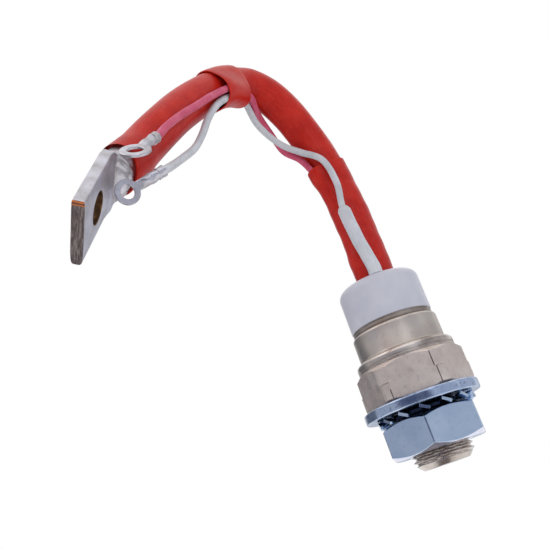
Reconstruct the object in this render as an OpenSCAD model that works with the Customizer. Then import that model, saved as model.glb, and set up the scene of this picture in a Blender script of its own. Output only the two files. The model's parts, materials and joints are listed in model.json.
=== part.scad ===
// Stud-mounted thyristor in a ceramic case, with its cathode lead and its two thin control wires.
// Millimetres. The origin is the middle of the mounting seat, and +Z runs up to the ceramic cap.

/* [Base] */
// Distance across the flats of the hexagonal base
hex_flats = 32; // [31:0.5:33]
// Height of the hexagonal base above its seat
hex_h = 11.8; // [10:0.1:14]
// Height at which the turned corners step in
hex_step_h = 5.6; // [4:0.1:7]
// Diameter that the corners are turned to below the step
corner_low_d = 35.5; // [35.2:0.1:35.7]
// Diameter that the corners are turned to above the step
corner_top_d = 35; // [34.5:0.1:35.1]
// Height of the chamfer round the top of the base
hex_chamfer_h = 1.3; // [0.5:0.1:2]
// Width of the chamfer round the top of the base
hex_chamfer_w = 1.5; // [0.8:0.1:1.5]
// Chamfer round the edge of the seat
seat_chamfer = 0.4; // [0.2:0.1:0.8]

/* [Stud] */
// Outer diameter of the stud's thread
stud_d = 19.05; // [17:0.05:20]
// Length of the stud below the seat
stud_l = 21.3; // [19:0.1:26]
// Chamfer at the tip of the stud
stud_chamfer = 2.3; // [1:0.1:3]
// Depth of the thread relief under the seat
relief_depth = 0.7; // [0.4:0.1:1]
// Height of the thread relief
relief_h = 1.8; // [1:0.1:2.8]

/* [Fasteners] */
// Outer diameter of the flat washer
washer_d = 37.3; // [35:0.1:40]
// Thickness of the flat washer
washer_t = 3.2; // [2:0.1:4]
// Rounding of the flat washer's rim
washer_round = 0.6; // [0.2:0.1:0.9]
// Gap between the stud and the bores of both washers
washer_clearance = 0.5; // [0.3:0.05:0.8]
// Outer diameter of the toothed lock washer
lock_d = 31.4; // [30:0.1:33]
// Thickness of the lock washer's sheet
lock_t = 0.9; // [0.6:0.1:1.2]
// Width of the flat ring that carries the teeth
lock_ring_w = 2.7; // [2:0.1:3.4]
// Number of teeth
tooth_count = 14; // [10:1:15]
// Twist of each tooth about its own length
tooth_twist = 28; // [20:1:35]
// Width of a tooth at its tip
tooth_tip_w = 3.6; // [3:0.1:4]
// Width of a tooth at its root
tooth_root_w = 2.6; // [2:0.1:3]
// Distance across the flats of the nut
nut_flats = 28.575; // [27:0.5:30]
// Height of the nut
nut_h = 10.7; // [8:0.1:13]
// Width of the chamfer that turns the nut's corners away
nut_chamfer_w = 0.35; // [0.1:0.05:0.6]
// Slope of that chamfer from the nut's face
nut_chamfer_angle = 30; // [20:1:35]
// Turn of the nut on its thread
nut_turn = 26; // [0:1:59]
// Gap between the nut and the stud
nut_clearance = 0.1; // [0.05:0.05:0.3]

/* [Case] */
// Outer diameter of the weld ring
weld_ring_d = 32; // [31:0.1:32]
// Height of the weld ring
weld_ring_h = 3.3; // [2.5:0.1:4]
// Rounding of the weld ring's top edge
weld_ring_round = 1.3; // [0.5:0.1:1.6]
// Depth of the fine groove near the foot of the weld ring
weld_groove = 0.3; // [0.1:0.1:0.5]
// Diameter of the boss on the base that fills the weld ring
boss_d = 23.6; // [23:0.1:25]
// Gap between the boss and the weld ring
boss_clearance = 0.05; // [0.02:0.01:0.1]
// Outer diameter of the metal sleeve
sleeve_d = 28.2; // [27.6:0.1:29]
// Height of the metal sleeve
sleeve_h = 8.9; // [7:0.1:11]
// Wall of the metal sleeve
sleeve_wall = 0.9; // [0.6:0.1:1.2]
// Rounding of the sleeve's top edge
sleeve_round = 1.2; // [0.9:0.1:1.6]
// Width and height of the weld bead at the sleeve's foot
sleeve_bead = 0.4; // [0.2:0.1:0.6]
// Diameter of the opening through the sleeve's top and the seal ring
neck_d = 23.2; // [22.8:0.1:23.8]
// Outer diameter of the seal ring under the ceramic
seal_d = 26.6; // [26:0.1:27]
// Height of the seal ring
seal_h = 1.6; // [1:0.1:2.4]
// Outer diameter of the ceramic cap
cap_d = 27.1; // [26.8:0.1:28]
// Height of the ceramic cap
cap_h = 14.7; // [13:0.1:17]
// Side wall of the ceramic cap
cap_wall = 2.15; // [1.8:0.05:2.2]
// Top wall of the ceramic cap
cap_top = 4; // [3:0.1:4.6]
// Rounding of the ceramic cap's top edge
cap_round = 3.2; // [1.5:0.1:4]

/* [Terminal tubes] */
// Outer diameter of the cathode tube
cathode_tube_d = 9.8; // [9.8:0.05:10]
// Wall of the cathode tube
cathode_tube_wall = 0.6; // [0.4:0.05:0.6]
// Height of the cathode tube above the cap
cathode_tube_h = 7.7; // [6:0.1:7.7]
// Outer diameter of the flange that is brazed to the cap
cathode_flange_d = 11.2; // [10.8:0.1:11.2]
// Thickness of that flange
cathode_flange_t = 0.7; // [0.4:0.1:1.2]
// Outer diameter of the flared rim of the cathode tube
cathode_rim_d = 11.2; // [10.8:0.1:11.3]
// Height of the flared rim
cathode_rim_h = 0.8; // [0.4:0.1:1.4]
// Place of the gate tube across the cap
gate_x = 1.2; // [1:0.1:1.4]
// Place of the gate tube in front of the cap's middle
gate_y = -9.4; // [-9.6:0.1:-9.3]
// Outer diameter of the gate tube
gate_tube_d = 3; // [2.9:0.05:3.2]
// Wall of the gate tube
gate_tube_wall = 0.3; // [0.2:0.05:0.3]
// Height of the gate tube above the cap
gate_tube_h = 2.5; // [1.5:0.1:2.7]
// Gap between each tube and its hole in the ceramic
braze_gap = 0.05; // [0.03:0.01:0.1]

/* [Pressure stack] */
// Outer diameter of the clamp cup
cup_d = 21.4; // [21:0.1:21.8]
// Wall of the clamp cup
cup_wall = 0.7; // [0.5:0.1:0.8]
// Outer diameter of the clamp cup's foot
cup_foot_d = 22.6; // [22:0.1:22.8]
// Thickness of the clamp cup's foot and of its turned-in lip
cup_lip_t = 0.5; // [0.4:0.1:0.8]
// Width of the clamp cup's turned-in lip
cup_lip_w = 1.5; // [1:0.1:2]
// Gap round the pieces that the clamp cup holds
stack_fit = 0.1; // [0.05:0.05:0.2]
// Height of the pedestal that the stack stands on
pedestal_h = 0.9; // [0.8:0.1:1.4]
// Wall of the centring ring
centring_wall = 0.8; // [0.6:0.1:1]
// Thickness of the anode plate
plate_t = 1.2; // [0.8:0.1:1.6]
// Thickness of the silicon wafer
wafer_t = 0.4; // [0.3:0.05:0.6]
// Diameter of the cathode contact disc
contact_d = 15; // [14:0.1:15.5]
// Thickness of the cathode contact disc
contact_t = 0.8; // [0.6:0.1:1.2]
// Bore for the gate pin through the contact disc and the post
gate_bore_d = 3.4; // [3:0.1:3.8]
// Thickness of the post's flange
post_flange_t = 2; // [1.5:0.1:2.5]
// Diameter of the post's stem
stem_d = 9; // [8.6:0.1:9.2]
// Gap between the stem and the washers round it
stem_clearance = 0.25; // [0.15:0.05:0.4]
// Height of the stem between the clamp cup and the rope's socket
stem_neck_h = 2; // [1.8:0.1:2.4]
// Outer diameter of the rope's socket
socket_d = 11; // [10.6:0.1:11.6]
// Free height above the socket, up to the inside of the cap
socket_headroom = 2.3; // [2:0.1:2.8]
// Thickness of the insulating washer
insulator_t = 0.8; // [0.6:0.1:1.2]
// Diameter of the insulating washer and the pressure washer
small_washer_d = 16; // [15.5:0.1:17]
// Thickness of the pressure washer
pressure_t = 1.5; // [1:0.1:1.8]
// Gap between the disc springs and the clamp cup
spring_clearance = 1; // [0.6:0.1:1.5]
// Number of disc springs
spring_count = 3; // [2:1:3]
// Sheet thickness of a disc spring
spring_t = 0.7; // [0.5:0.05:0.8]
// Height of a disc spring's cone
spring_cone = 0.4; // [0.2:0.05:0.5]
// Thickness of the retaining ring
retainer_t = 1; // [0.8:0.1:1.3]
// Diameter of the gate pin's wire
gate_pin_d = 0.8; // [0.5:0.1:1]
// Gap round the gate pin in its insulator and round the insulator in its bore
gate_fit = 0.1; // [0.05:0.05:0.15]

/* [Cathode lead] */
// Diameter of the copper rope
rope_d = 8.4; // [8:0.1:8.4]
// Gap between the rope and the bores that hold it
rope_fit = 0.05; // [0.05:0.05:0.1]
// Outer diameter of the long silicone sleeve
long_sleeve_d = 12.2; // [11.8:0.1:12.2]
// Wall of the long silicone sleeve
long_sleeve_wall = 0.8; // [0.6:0.1:0.8]
// Widening of the long sleeve where it is pushed over the lug
long_sleeve_flare = 1.5; // [1.5:0.1:1.7]
// Outer diameter of the short sleeve that stands on the cap
short_sleeve_d = 12.8; // [12.7:0.1:13]
// Widening of the short sleeve at its mouth
short_sleeve_flare = 1; // [1:0.1:1.2]
// Wall of the short sleeve and of the collar
short_sleeve_wall = 0.5; // [0.4:0.1:0.5]
// Outer diameter of the collar that bundles the lead with its wires
collar_d = 13.8; // [13.7:0.1:13.9]
// Bulge of the collar over the two wires
collar_bulge = 3.5; // [3.4:0.1:3.6]
// Extra bulge at the collar's lower mouth, where the wires rise into it
collar_mouth = 0.3; // [0.3:0.1:0.6]

/* [Lug] */
// Width of the lug's palm
palm_w = 18; // [16:0.1:19]
// Thickness of the lug's palm
palm_t = 3.1; // [2.4:0.1:3.6]
// Length of the flat palm
palm_l = 18; // [17:0.1:19]
// Rounding of the palm's back edges
palm_round = 0.8; // [0.4:0.1:1]
// Diameter of the bolt hole
lug_hole_d = 8.5; // [6.5:0.1:9]
// Distance from the palm's end to the middle of the bolt hole
lug_hole_l = 12; // [10:0.1:12.5]
// Outer diameter of the lug's barrel
barrel_d = 11.2; // [10.8:0.1:11.2]
// Length of the lug's barrel
barrel_l = 9; // [8:0.1:9]
// Length over which the palm opens out into the barrel
shoulder_l = 11; // [9:0.1:12]
// Step from the middle of the barrel to the middle of the palm's top
barrel_step = 1.7; // [1:0.1:2.4]
// Bend of the palm against the barrel
lug_bend = 14.5; // [0:0.5:25]

/* [Control wires] */
// Diameter of the gate wire and the auxiliary cathode wire
wire_d = 2.3; // [2:0.1:2.3]
// Outer diameter of the shrink tube over the gate tube
shrink_d = 4.5; // [4.3:0.1:4.5]
// Wall of the shrink tube
shrink_wall = 0.5; // [0.3:0.1:0.5]
// Outer diameter of the gate wire's ring terminal
gate_ring_d = 6.7; // [6.2:0.1:7.2]
// Hole in the gate wire's ring terminal
gate_ring_hole_d = 3.7; // [3.2:0.1:3.8]
// Outer diameter of the auxiliary wire's ring terminal
aux_ring_d = 8.2; // [7.6:0.1:8.4]
// Hole in the auxiliary wire's ring terminal
aux_ring_hole_d = 4.3; // [3.7:0.1:4.4]
// Sheet thickness of a ring terminal
ring_t = 0.8; // [0.6:0.1:1]
// Width of the tongue between the ring and the barrel
tongue_w = 2.6; // [2:0.1:3.2]
// Outer diameter of the conductor barrel
crimp_d = 2.8; // [2.6:0.1:3]
// Length of the conductor barrel
crimp_l = 4.5; // [3.5:0.1:5.5]
// Wall of the grip round the wire's insulation
grip_wall = 0.3; // [0.2:0.05:0.4]
// Length of the grip round the wire's insulation
grip_l = 2; // [1.5:0.1:2.2]
// Gap between the wire and that grip
grip_clearance = 0.15; // [0.1:0.05:0.2]

/* [Hidden] */
$fn = 96;
// How far a cut runs past the face that it opens
past = 1;

// Colours of the materials
nickel = "#A99F9B";
zinc = "#8FA6BF";
ceramic = "#D5D6DE";
braze = "#8B7F78";
red_silicone = "#C62A22";
pink = "#D0608C";
white = "#D5D7DC";
tin = "#B9B7BF";
copper = "#B9733F";
steel = "#9A9CA0";
molybdenum = "#8C8F96";
silicon = "#4C4F5C";
silver = "#C9C9C4";
ptfe = "#E9E8E0";

// Heights of the case, from the seat up
z_weld = hex_h;
z_boss = z_weld + weld_ring_h;
z_seal = z_boss + sleeve_h;
z_cap = z_seal + seal_h;
z_top = z_cap + cap_h;
z_ceiling = z_top - cap_top;

// Heights of the fasteners, from the seat down
lock_h = tooth_tip_w * sin(tooth_twist) + lock_t * cos(tooth_twist);
z_washer = -washer_t;
z_lock = z_washer - lock_h;
z_nut = z_lock - nut_h;
washer_bore = stud_d + 2 * washer_clearance;

// Heights of the stack, from the pedestal up
z_plate = z_boss + pedestal_h;
z_wafer = z_plate + plate_t;
z_contact = z_wafer + wafer_t;
z_flange = z_contact + contact_t;
z_insulator = z_flange + post_flange_t;
z_pressure = z_insulator + insulator_t;
z_spring = z_pressure + pressure_t;
spring_gap = 0.05;
spring_pitch = spring_t + spring_cone + spring_gap;
z_retainer = z_spring + spring_count * spring_pitch;
z_lip = z_retainer + retainer_t;
z_cup_top = z_lip + cup_lip_t;
z_socket = z_cup_top + stem_neck_h;
z_socket_top = z_ceiling - socket_headroom;
z_tube_foot = z_socket_top + 0.5;
cup_bore = cup_d - 2 * cup_wall;
stack_d = cup_bore - 2 * stack_fit;
spring_d = cup_bore - 2 * spring_clearance;
plate_d = stack_d - 2 * centring_wall - 2 * stack_fit;
stem_bore = stem_d + 2 * stem_clearance;

// The gate pin turns sideways just above the clamp cup and rises into the gate tube
pin_z = z_cup_top + 0.8;
pin_slot_h = gate_pin_d + 0.4;
gate_reach = norm([gate_x, gate_y]);
gate_angle = atan2(gate_y, gate_x);
z_gate_wire = z_top + 0.7;
rope_bore = rope_d + 2 * rope_fit;
z_rim = z_top + cathode_tube_h;

// Middle line of the cathode lead, from the cap to the inside of the lug
lead_route = [[0, 0, z_top], [0, 0, z_rim], [0.4, 1.2, 62], [-0.3, 1.2, 77], [-0.9, 0.5, 83.8],
    [-1.2, 0.2, 86], [-2.5, -1.4, 94], [-4.8, -4.4, 102], [-7.6, -8.6, 109.1], [-11.2, -14, 114.4],
    [-15.8, -19.9, 116.8], [-18.9, -23.8, 116.2], [-22.5, -29.6, 114.1], [-26.3, -36, 110.1],
    [-35, -49.5, 98.7], [-40.6, -57.1, 90.6], [-44.5, -61.8, 85], [-48.6, -68, 77.9],
    [-50.9, -72, 74.1], [-51.7, -73.3, 72.8]];
// Points of that line where the short sleeve, the long sleeve and the collar begin or end
mouth_point = 5;
long_start = 4;
long_end = 18;
collar_start = 11;
collar_end = 13;
// Side of the lead on which the auxiliary wire lies, and side of the collar on which both wires lie
wire_side = [-0.58, -0.81, 0];
collar_side = [0.63, -0.37, -0.68];
// Turn of the two wires round the lead inside the collar, point by point
collar_twist = [-38, -19, 0];
// Direction that the long sleeve's slanting cut end faces
sleeve_cut = [-0.67, -0.68, -0.31];
// Bulge of the short sleeve over the auxiliary wire, point by point
short_bulge = [0, 1, 1, 1.2, 2.8, 2.8];

// Middle line of the gate wire
gate_route = [[gate_x, gate_y, z_gate_wire], [gate_x, gate_y, z_top + 2.9], [-0.1, -9.3, 53],
    [-1, -9.2, 65.8],
    [0.2, -9.1, 75.6], [-1.6, -9.3, 85.5], [-7.2, -8.2, 91.5], [-11.9, -8.9, 95.8], [-15.4, -11.7, 100.1],
    [-17.9, -16.9, 104.4], [-18.4, -22.3, 108.9], [-18.9, -28.5, 107.6], [-20.7, -35.7, 105.2],
    [-24.7, -42.8, 100], [-28.3, -46.9, 94], [-31, -50.4, 87.4], [-33.5, -54.7, 81.5], [-36.7, -61.8, 75.5],
    [-38.4, -68.9, 70.4], [-38.9, -72.7, 67.9], [-41, -74.1, 66.7]];
gate_ring = [-48.5, -78.9, 62.5];
gate_ring_roll = 73;
// Middle line of the auxiliary cathode wire
aux_route = [[-3.2, -4.4, z_rim + 0.1], [-2.8, -3.3, 62], [-3.6, -3.3, 77], [-6.1, -5.3, 84.2],
    [-8.8, -5.4, 90.6],
    [-13.2, -5.2, 96.3], [-14.9, -7.4, 102.6], [-16.3, -12.6, 107.6], [-16.3, -19, 108.8],
    [-15.9, -23.9, 109.3], [-17.2, -30.2, 108.8], [-19.7, -37.6, 106.9], [-24.5, -45.9, 101.4],
    [-29, -52.8, 95.7], [-33.7, -60.7, 89.2], [-37.4, -66.6, 83.6], [-39.2, -70.3, 79.6],
    [-40.3, -72.1, 78.1]];
aux_ring = [-43.8, -78.4, 72.9];
aux_ring_roll = 139;

// The lug's barrel lies on the last stretch of the lead
lug_axis = lead_route[len(lead_route) - 1] - lead_route[len(lead_route) - 3];
lug_mouth = lead_route[len(lead_route) - 3];
lug_roll = -123.6;

// Directions along a line of points, and a sideways direction carried along them without twist
function unit(v) = v / norm(v);
function directions(p) = [for (i = [0 : len(p) - 1]) unit(p[min(i + 1, len(p) - 1)] - p[max(i - 1, 0)])];
function carried(t, side, i = 0) = i == len(t) ? [] :
    let (n = unit(side - (side * t[i]) * t[i])) concat([n], carried(t, n, i + 1));
function piece_of(v, first, last) = [for (i = [first : last]) v[i]];
function at(v, i) = is_list(v) ? v[i] : v;

// One ring of points round a place on the line, bulged at an angle from the sideways direction, and
// slid along the line so that the ring faces the direction of its cut
function ring_of(p, t, n, r, bulge, turn, cut, count) = [for (j = [0 : count - 1])
    let (a = 360 * j / count, reach = r + bulge * pow(max(0, cos(a - turn)), 3),
        out = reach * (cos(a) * n + sin(a) * cross(t, n)))
    p + out - t * (out * cut) / (t * cut)];

// The two triangles of each patch between ring k and the next one, outwards or inwards
function skin(k, count, first, outward) = [for (j = [0 : count - 1])
    let (m = (j + 1) % count, a = first + k * count + j, b = first + k * count + m,
        c = b + count, d = a + count)
    each (outward ? [[a, d, c], [a, c, b]] : [[a, b, c], [a, c, d]])];

// A solid cord or a hollow tube swept along points p with directions t and sideways directions n
module swept(p, t, n, r_out, r_in = 0, bulge = 0, turn = 0, cut = [0, 0, 0], count = 12) {
    last = len(p) - 1;
    size = count * len(p);
    faced = [for (i = [0 : last]) i == last && norm(cut) > 0 ? cut : t[i]];
    outer = [for (i = [0 : last])
        each ring_of(p[i], t[i], n[i], at(r_out, i), at(bulge, i), at(turn, i), faced[i], count)];
    inner = [for (i = [0 : last])
        each ring_of(p[i], t[i], n[i], at(r_in, i), at(bulge, i), at(turn, i), faced[i], count)];
    wall = [for (k = [0 : last - 1]) each skin(k, count, 0, true)];
    if (at(r_in, 0) == 0) {
        caps = [[for (j = [0 : count - 1]) j], [for (j = [count - 1 : -1 : 0]) last * count + j]];
        polyhedron(outer, concat(wall, caps), convexity = 8);
    } else {
        lining = [for (k = [0 : last - 1]) each skin(k, count, size, false)];
        ends = [for (j = [0 : count - 1]) let (m = (j + 1) % count, e = last * count)
            each [[j, m, size + m, size + j], [e + j, size + e + j, size + e + m, e + m]]];
        polyhedron(concat(outer, inner), concat(wall, lining, ends), convexity = 8);
    }
}

// A cord of its own, swept along a route
module cord(route, d, side, count = 8) {
    t = directions(route);
    swept(route, t, carried(t, side), d / 2, count = count);
}

// A flat ring with a bore
module flat_ring(d, bore, h, z) {
    translate([0, 0, z]) difference() {
        cylinder(h = h, d = d);
        translate([0, 0, -past]) cylinder(h = h + 2 * past, d = bore);
    }
}

// Half section of a round plate whose top outer edge is rounded
module rounded_half(r, h, round_r) {
    square([r - round_r, h]);
    square([r, h - round_r]);
    translate([r - round_r, h - round_r]) circle(r = round_r);
}

// Place children at p with their own Z along an axis and turned about it by roll
module aimed(p, axis, roll) {
    a = unit(axis);
    translate(p) rotate([0, acos(a[2]), atan2(a[1], a[0])]) rotate([0, 0, roll]) children();
}

// Half section that the hexagon's corners are turned to, with the boss and the pedestal above
module base_turning() {
    low = corner_low_d / 2;
    top = corner_top_d / 2;
    polygon([[0, 0], [low - seat_chamfer, 0], [low, seat_chamfer], [low, hex_step_h], [top, hex_step_h],
        [top, hex_h - hex_chamfer_h], [top - hex_chamfer_w, hex_h], [0, hex_h]]);
}

// The copper base: hexagon with turned corners, boss, pedestal and stud in one piece
module stud_base() {
    r = stud_d / 2;
    color(nickel) {
        intersection() {
            cylinder(h = hex_h, d = hex_flats / cos(30), $fn = 6);
            rotate_extrude() base_turning();
        }
        translate([0, 0, hex_h - past]) cylinder(h = weld_ring_h + past, d = boss_d);
        translate([0, 0, z_boss - past]) cylinder(h = pedestal_h + past, d = stack_d);
        rotate_extrude() polygon([[0, past], [r - relief_depth, past], [r - relief_depth, -relief_h],
            [r, -relief_h - relief_depth], [r, stud_chamfer - stud_l], [r - stud_chamfer, -stud_l],
            [0, -stud_l]]);
    }
}

// The steel ring that the sleeve is welded to
module weld_ring() {
    bore = boss_d + 2 * boss_clearance;
    r = weld_ring_d / 2;
    color(nickel) translate([0, 0, z_weld]) difference() {
        rotate_extrude() difference() {
            rounded_half(r, weld_ring_h, weld_ring_round);
            translate([r, weld_ring_h / 4]) circle(r = weld_groove, $fn = 24);
        }
        translate([0, 0, -past]) cylinder(h = weld_ring_h + 2 * past, d = bore);
    }
}

// The drawn metal sleeve with a rounded shoulder and a weld bead at its foot
module case_sleeve() {
    r = sleeve_d / 2;
    inner_round = max(0.1, sleeve_round - sleeve_wall);
    color(nickel) translate([0, 0, z_boss]) difference() {
        rotate_extrude() {
            rounded_half(r, sleeve_h, sleeve_round);
            polygon([[0, 0], [r + sleeve_bead, 0], [r, sleeve_bead], [0, sleeve_bead]]);
        }
        translate([0, 0, -past]) rotate_extrude()
            rounded_half(r - sleeve_wall, sleeve_h - sleeve_wall + past, inner_round);
        cylinder(h = sleeve_h + past, d = neck_d);
    }
}

// The thin ring brazed between the sleeve and the ceramic
module seal_ring() {
    color(braze) flat_ring(seal_d, neck_d, seal_h, z_seal);
}

// The glazed ceramic cap with a rounded top and two holes for the tubes
module ceramic_cap() {
    color(ceramic) difference() {
        translate([0, 0, z_cap]) rotate_extrude() rounded_half(cap_d / 2, cap_h, cap_round);
        translate([0, 0, z_cap - past]) cylinder(h = cap_h - cap_top + past, d = cap_d - 2 * cap_wall);
        cylinder(h = z_top + past, d = cathode_tube_d + 2 * braze_gap);
        translate([gate_x, gate_y, 0]) cylinder(h = z_top + past, d = gate_tube_d + 2 * braze_gap);
    }
}

// The cathode tube with its brazed flange and flared rim
module cathode_tube() {
    bore = cathode_tube_d - 2 * cathode_tube_wall;
    color(nickel) difference() {
        union() {
            translate([0, 0, z_tube_foot]) cylinder(h = z_rim - z_tube_foot, d = cathode_tube_d);
            translate([0, 0, z_top]) cylinder(h = cathode_flange_t, d = cathode_flange_d);
            translate([0, 0, z_rim - cathode_rim_h]) cylinder(h = cathode_rim_h, d = cathode_rim_d);
        }
        translate([0, 0, z_tube_foot - past]) cylinder(h = z_rim - z_tube_foot + 2 * past, d = bore);
    }
}

// The thin tube through which the gate wire leaves
module gate_tube() {
    foot = z_ceiling - 0.3;
    color(nickel) translate([gate_x, gate_y, 0])
        flat_ring(gate_tube_d, gate_tube_d - 2 * gate_tube_wall, z_top + gate_tube_h - foot, foot);
}

// The flat washer with a rounded rim
module flat_washer() {
    r = washer_d / 2;
    edge = washer_round;
    color(zinc) translate([0, 0, z_washer]) difference() {
        rotate_extrude() {
            square([r - edge, washer_t]);
            translate([0, edge]) square([r, washer_t - 2 * edge]);
            for (y = [edge, washer_t - edge]) translate([r - edge, y]) circle(r = edge, $fn = 32);
        }
        translate([0, 0, -past]) cylinder(h = washer_t + 2 * past, d = washer_bore);
    }
}

// One tooth of the lock washer along +X, twisted about its own length
module twisted_tooth() {
    root = washer_bore / 2 + lock_ring_w - 0.4;
    tip = lock_d / 2;
    rotate([tooth_twist, 0, 0]) translate([0, 0, -lock_t / 2]) linear_extrude(lock_t)
        polygon([[root, -tooth_root_w / 2], [tip + past, -tooth_tip_w / 2], [tip + past, tooth_tip_w / 2],
            [root, tooth_root_w / 2]]);
}

// The lock washer: a flat ring whose outer teeth all twist the same way
module lock_washer() {
    color(zinc) translate([0, 0, z_lock + lock_h / 2]) difference() {
        union() {
            translate([0, 0, -lock_t / 2]) cylinder(h = lock_t, d = washer_bore + 2 * lock_ring_w);
            intersection() {
                for (i = [0 : tooth_count - 1]) rotate([0, 0, 360 * i / tooth_count - 90]) twisted_tooth();
                translate([0, 0, -lock_h / 2]) cylinder(h = lock_h, d = lock_d);
            }
        }
        translate([0, 0, -lock_h]) cylinder(h = 2 * lock_h, d = washer_bore);
    }
}

// The hexagon nut, with both faces chamfered
module hex_nut() {
    face_r = nut_flats / 2 - nut_chamfer_w;
    corner_r = nut_flats / 2 / cos(30) + 0.1;
    fall = (corner_r - face_r) * tan(nut_chamfer_angle);
    color(zinc) translate([0, 0, z_nut]) difference() {
        intersection() {
            rotate([0, 0, nut_turn]) cylinder(h = nut_h, d = nut_flats / cos(30), $fn = 6);
            rotate_extrude() polygon([[0, 0], [face_r, 0], [corner_r, fall], [corner_r, nut_h - fall],
                [face_r, nut_h], [0, nut_h]]);
        }
        translate([0, 0, -past]) cylinder(h = nut_h + 2 * past, d = stud_d + 2 * nut_clearance);
    }
}

// The cup that holds the stack down on the base
module clamp_cup() {
    color(steel) difference() {
        union() {
            translate([0, 0, z_boss]) cylinder(h = cup_lip_t, d = cup_foot_d);
            translate([0, 0, z_boss]) cylinder(h = z_cup_top - z_boss, d = cup_d);
        }
        translate([0, 0, z_boss - past]) cylinder(h = z_lip - z_boss + past, d = cup_bore);
        translate([0, 0, z_boss]) cylinder(h = z_cup_top - z_boss + past, d = cup_bore - 2 * cup_lip_w);
    }
}

// The ring that keeps the plate, the wafer and the post in line
module centring_ring() {
    color(ptfe) flat_ring(stack_d, stack_d - 2 * centring_wall, z_insulator - z_plate, z_plate);
}

module anode_plate() {
    color(molybdenum) translate([0, 0, z_plate]) cylinder(h = plate_t, d = plate_d);
}

module silicon_wafer() {
    color(silicon) translate([0, 0, z_wafer]) cylinder(h = wafer_t, d = plate_d);
}

module cathode_contact_disc() {
    color(silver) flat_ring(contact_d, gate_bore_d, contact_t, z_contact);
}

// The copper post: flange, stem, and a socket for the rope, with a way out for the gate pin
module cathode_post() {
    color(copper) difference() {
        union() {
            translate([0, 0, z_flange]) cylinder(h = post_flange_t, d = contact_d);
            translate([0, 0, z_flange]) cylinder(h = z_socket - z_flange, d = stem_d);
            translate([0, 0, z_socket - 0.3]) cylinder(h = z_socket_top - z_socket + 0.3, d = socket_d);
        }
        translate([0, 0, z_socket]) cylinder(h = z_socket_top, d = rope_bore);
        translate([0, 0, z_flange - past])
            cylinder(h = pin_z + pin_slot_h / 2 - z_flange + past, d = gate_bore_d);
        rotate([0, 0, gate_angle]) translate([0, -pin_slot_h / 2, pin_z - pin_slot_h / 2])
            cube([socket_d, pin_slot_h, pin_slot_h]);
    }
}

module insulating_washer() {
    color(ptfe) flat_ring(small_washer_d, stem_bore, insulator_t, z_insulator);
}

module pressure_washer() {
    color(steel) flat_ring(small_washer_d, stem_bore, pressure_t, z_pressure);
}

// The coned springs, turned over one after another
module disc_springs() {
    inner = stem_bore / 2;
    outer = spring_d / 2;
    z_first = z_spring + spring_gap / 2;
    color(steel) for (i = [0 : spring_count - 1]) translate([0, 0, z_first + i * spring_pitch]) {
        lift_in = i % 2 == 0 ? spring_cone : 0;
        lift_out = spring_cone - lift_in;
        rotate_extrude() polygon([[inner, lift_in], [outer, lift_out], [outer, lift_out + spring_t],
            [inner, lift_in + spring_t]]);
    }
}

module retaining_ring() {
    color(steel) flat_ring(stack_d, stem_bore, retainer_t, z_retainer);
}

// The gate pin: up from the wafer, sideways above the cup by a thinner link, and up into the gate tube
module gate_pin() {
    r = gate_pin_d / 2;
    color(silver) {
        translate([0, 0, z_contact]) cylinder(h = pin_z + r - z_contact, r = r);
        rotate([0, 0, gate_angle]) translate([0, 0, pin_z]) rotate([0, 90, 0])
            cylinder(h = gate_reach, r = 0.8 * r);
        translate([gate_x, gate_y, pin_z - r]) cylinder(h = z_gate_wire + r - pin_z, r = r);
    }
}

module gate_insulator() {
    color(ptfe) flat_ring(gate_bore_d - 2 * gate_fit, gate_pin_d + 2 * gate_fit,
        pin_z - pin_slot_h / 2 - z_contact, z_contact);
}

// The copper rope inside the lead
module cathode_rope() {
    color(copper) cord(concat([[0, 0, z_socket]], lead_route), rope_d, [1, 0, 0], 12);
}

// A silicone tube over the stretch of the lead between two of its points
module lead_tube(first, last, r_out, r_in, side, bulge = 0, turn = 0, cut = [0, 0, 0], count = 12) {
    t = piece_of(directions(lead_route), first, last);
    color(red_silicone)
        swept(piece_of(lead_route, first, last), t, carried(t, side), r_out, r_in, bulge, turn, cut, count);
}

// The long sleeve, widened at its last two rings over the lug's barrel
module long_sleeve() {
    grow = [for (i = [long_start : long_end]) i < long_end - 1 ? 0 : long_sleeve_flare / 2];
    r = long_sleeve_d / 2;
    lead_tube(long_start, long_end, [for (g = grow) r + g], [for (g = grow) r - long_sleeve_wall + g],
        wire_side, cut = sleeve_cut);
}

// The short sleeve, widened at its last two rings, where the long sleeve starts inside it
module short_sleeve() {
    grow = [for (i = [0 : mouth_point]) i < mouth_point - 1 ? 0 : short_sleeve_flare / 2];
    r = short_sleeve_d / 2;
    lead_tube(0, mouth_point, [for (g = grow) r + g], [for (g = grow) r - short_sleeve_wall + g], wire_side,
        short_bulge);
}

module lead_collar() {
    r = collar_d / 2;
    bulge = [collar_bulge + collar_mouth, collar_bulge, collar_bulge];
    lead_tube(collar_start, collar_end, r, r - short_sleeve_wall, collar_side, bulge, collar_twist,
        count = 24);
}

// The lug's palm, flattened from the tube, with its back edges eased
module palm_section() {
    w = palm_w / 2;
    t = palm_t / 2;
    edge = palm_round;
    ease = 0.3 * palm_round;
    polygon([[-w, t], [-w, edge - t], [ease - w, ease - t], [edge - w, -t], [w - edge, -t],
        [w - ease, ease - t], [w, edge - t], [w, t]]);
}

// Place children at the top of the palm, below the shoulder, with Z up along the palm
module at_palm() {
    translate([0, barrel_step, -barrel_l - shoulder_l]) rotate([lug_bend, 0, 0]) children();
}

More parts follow.
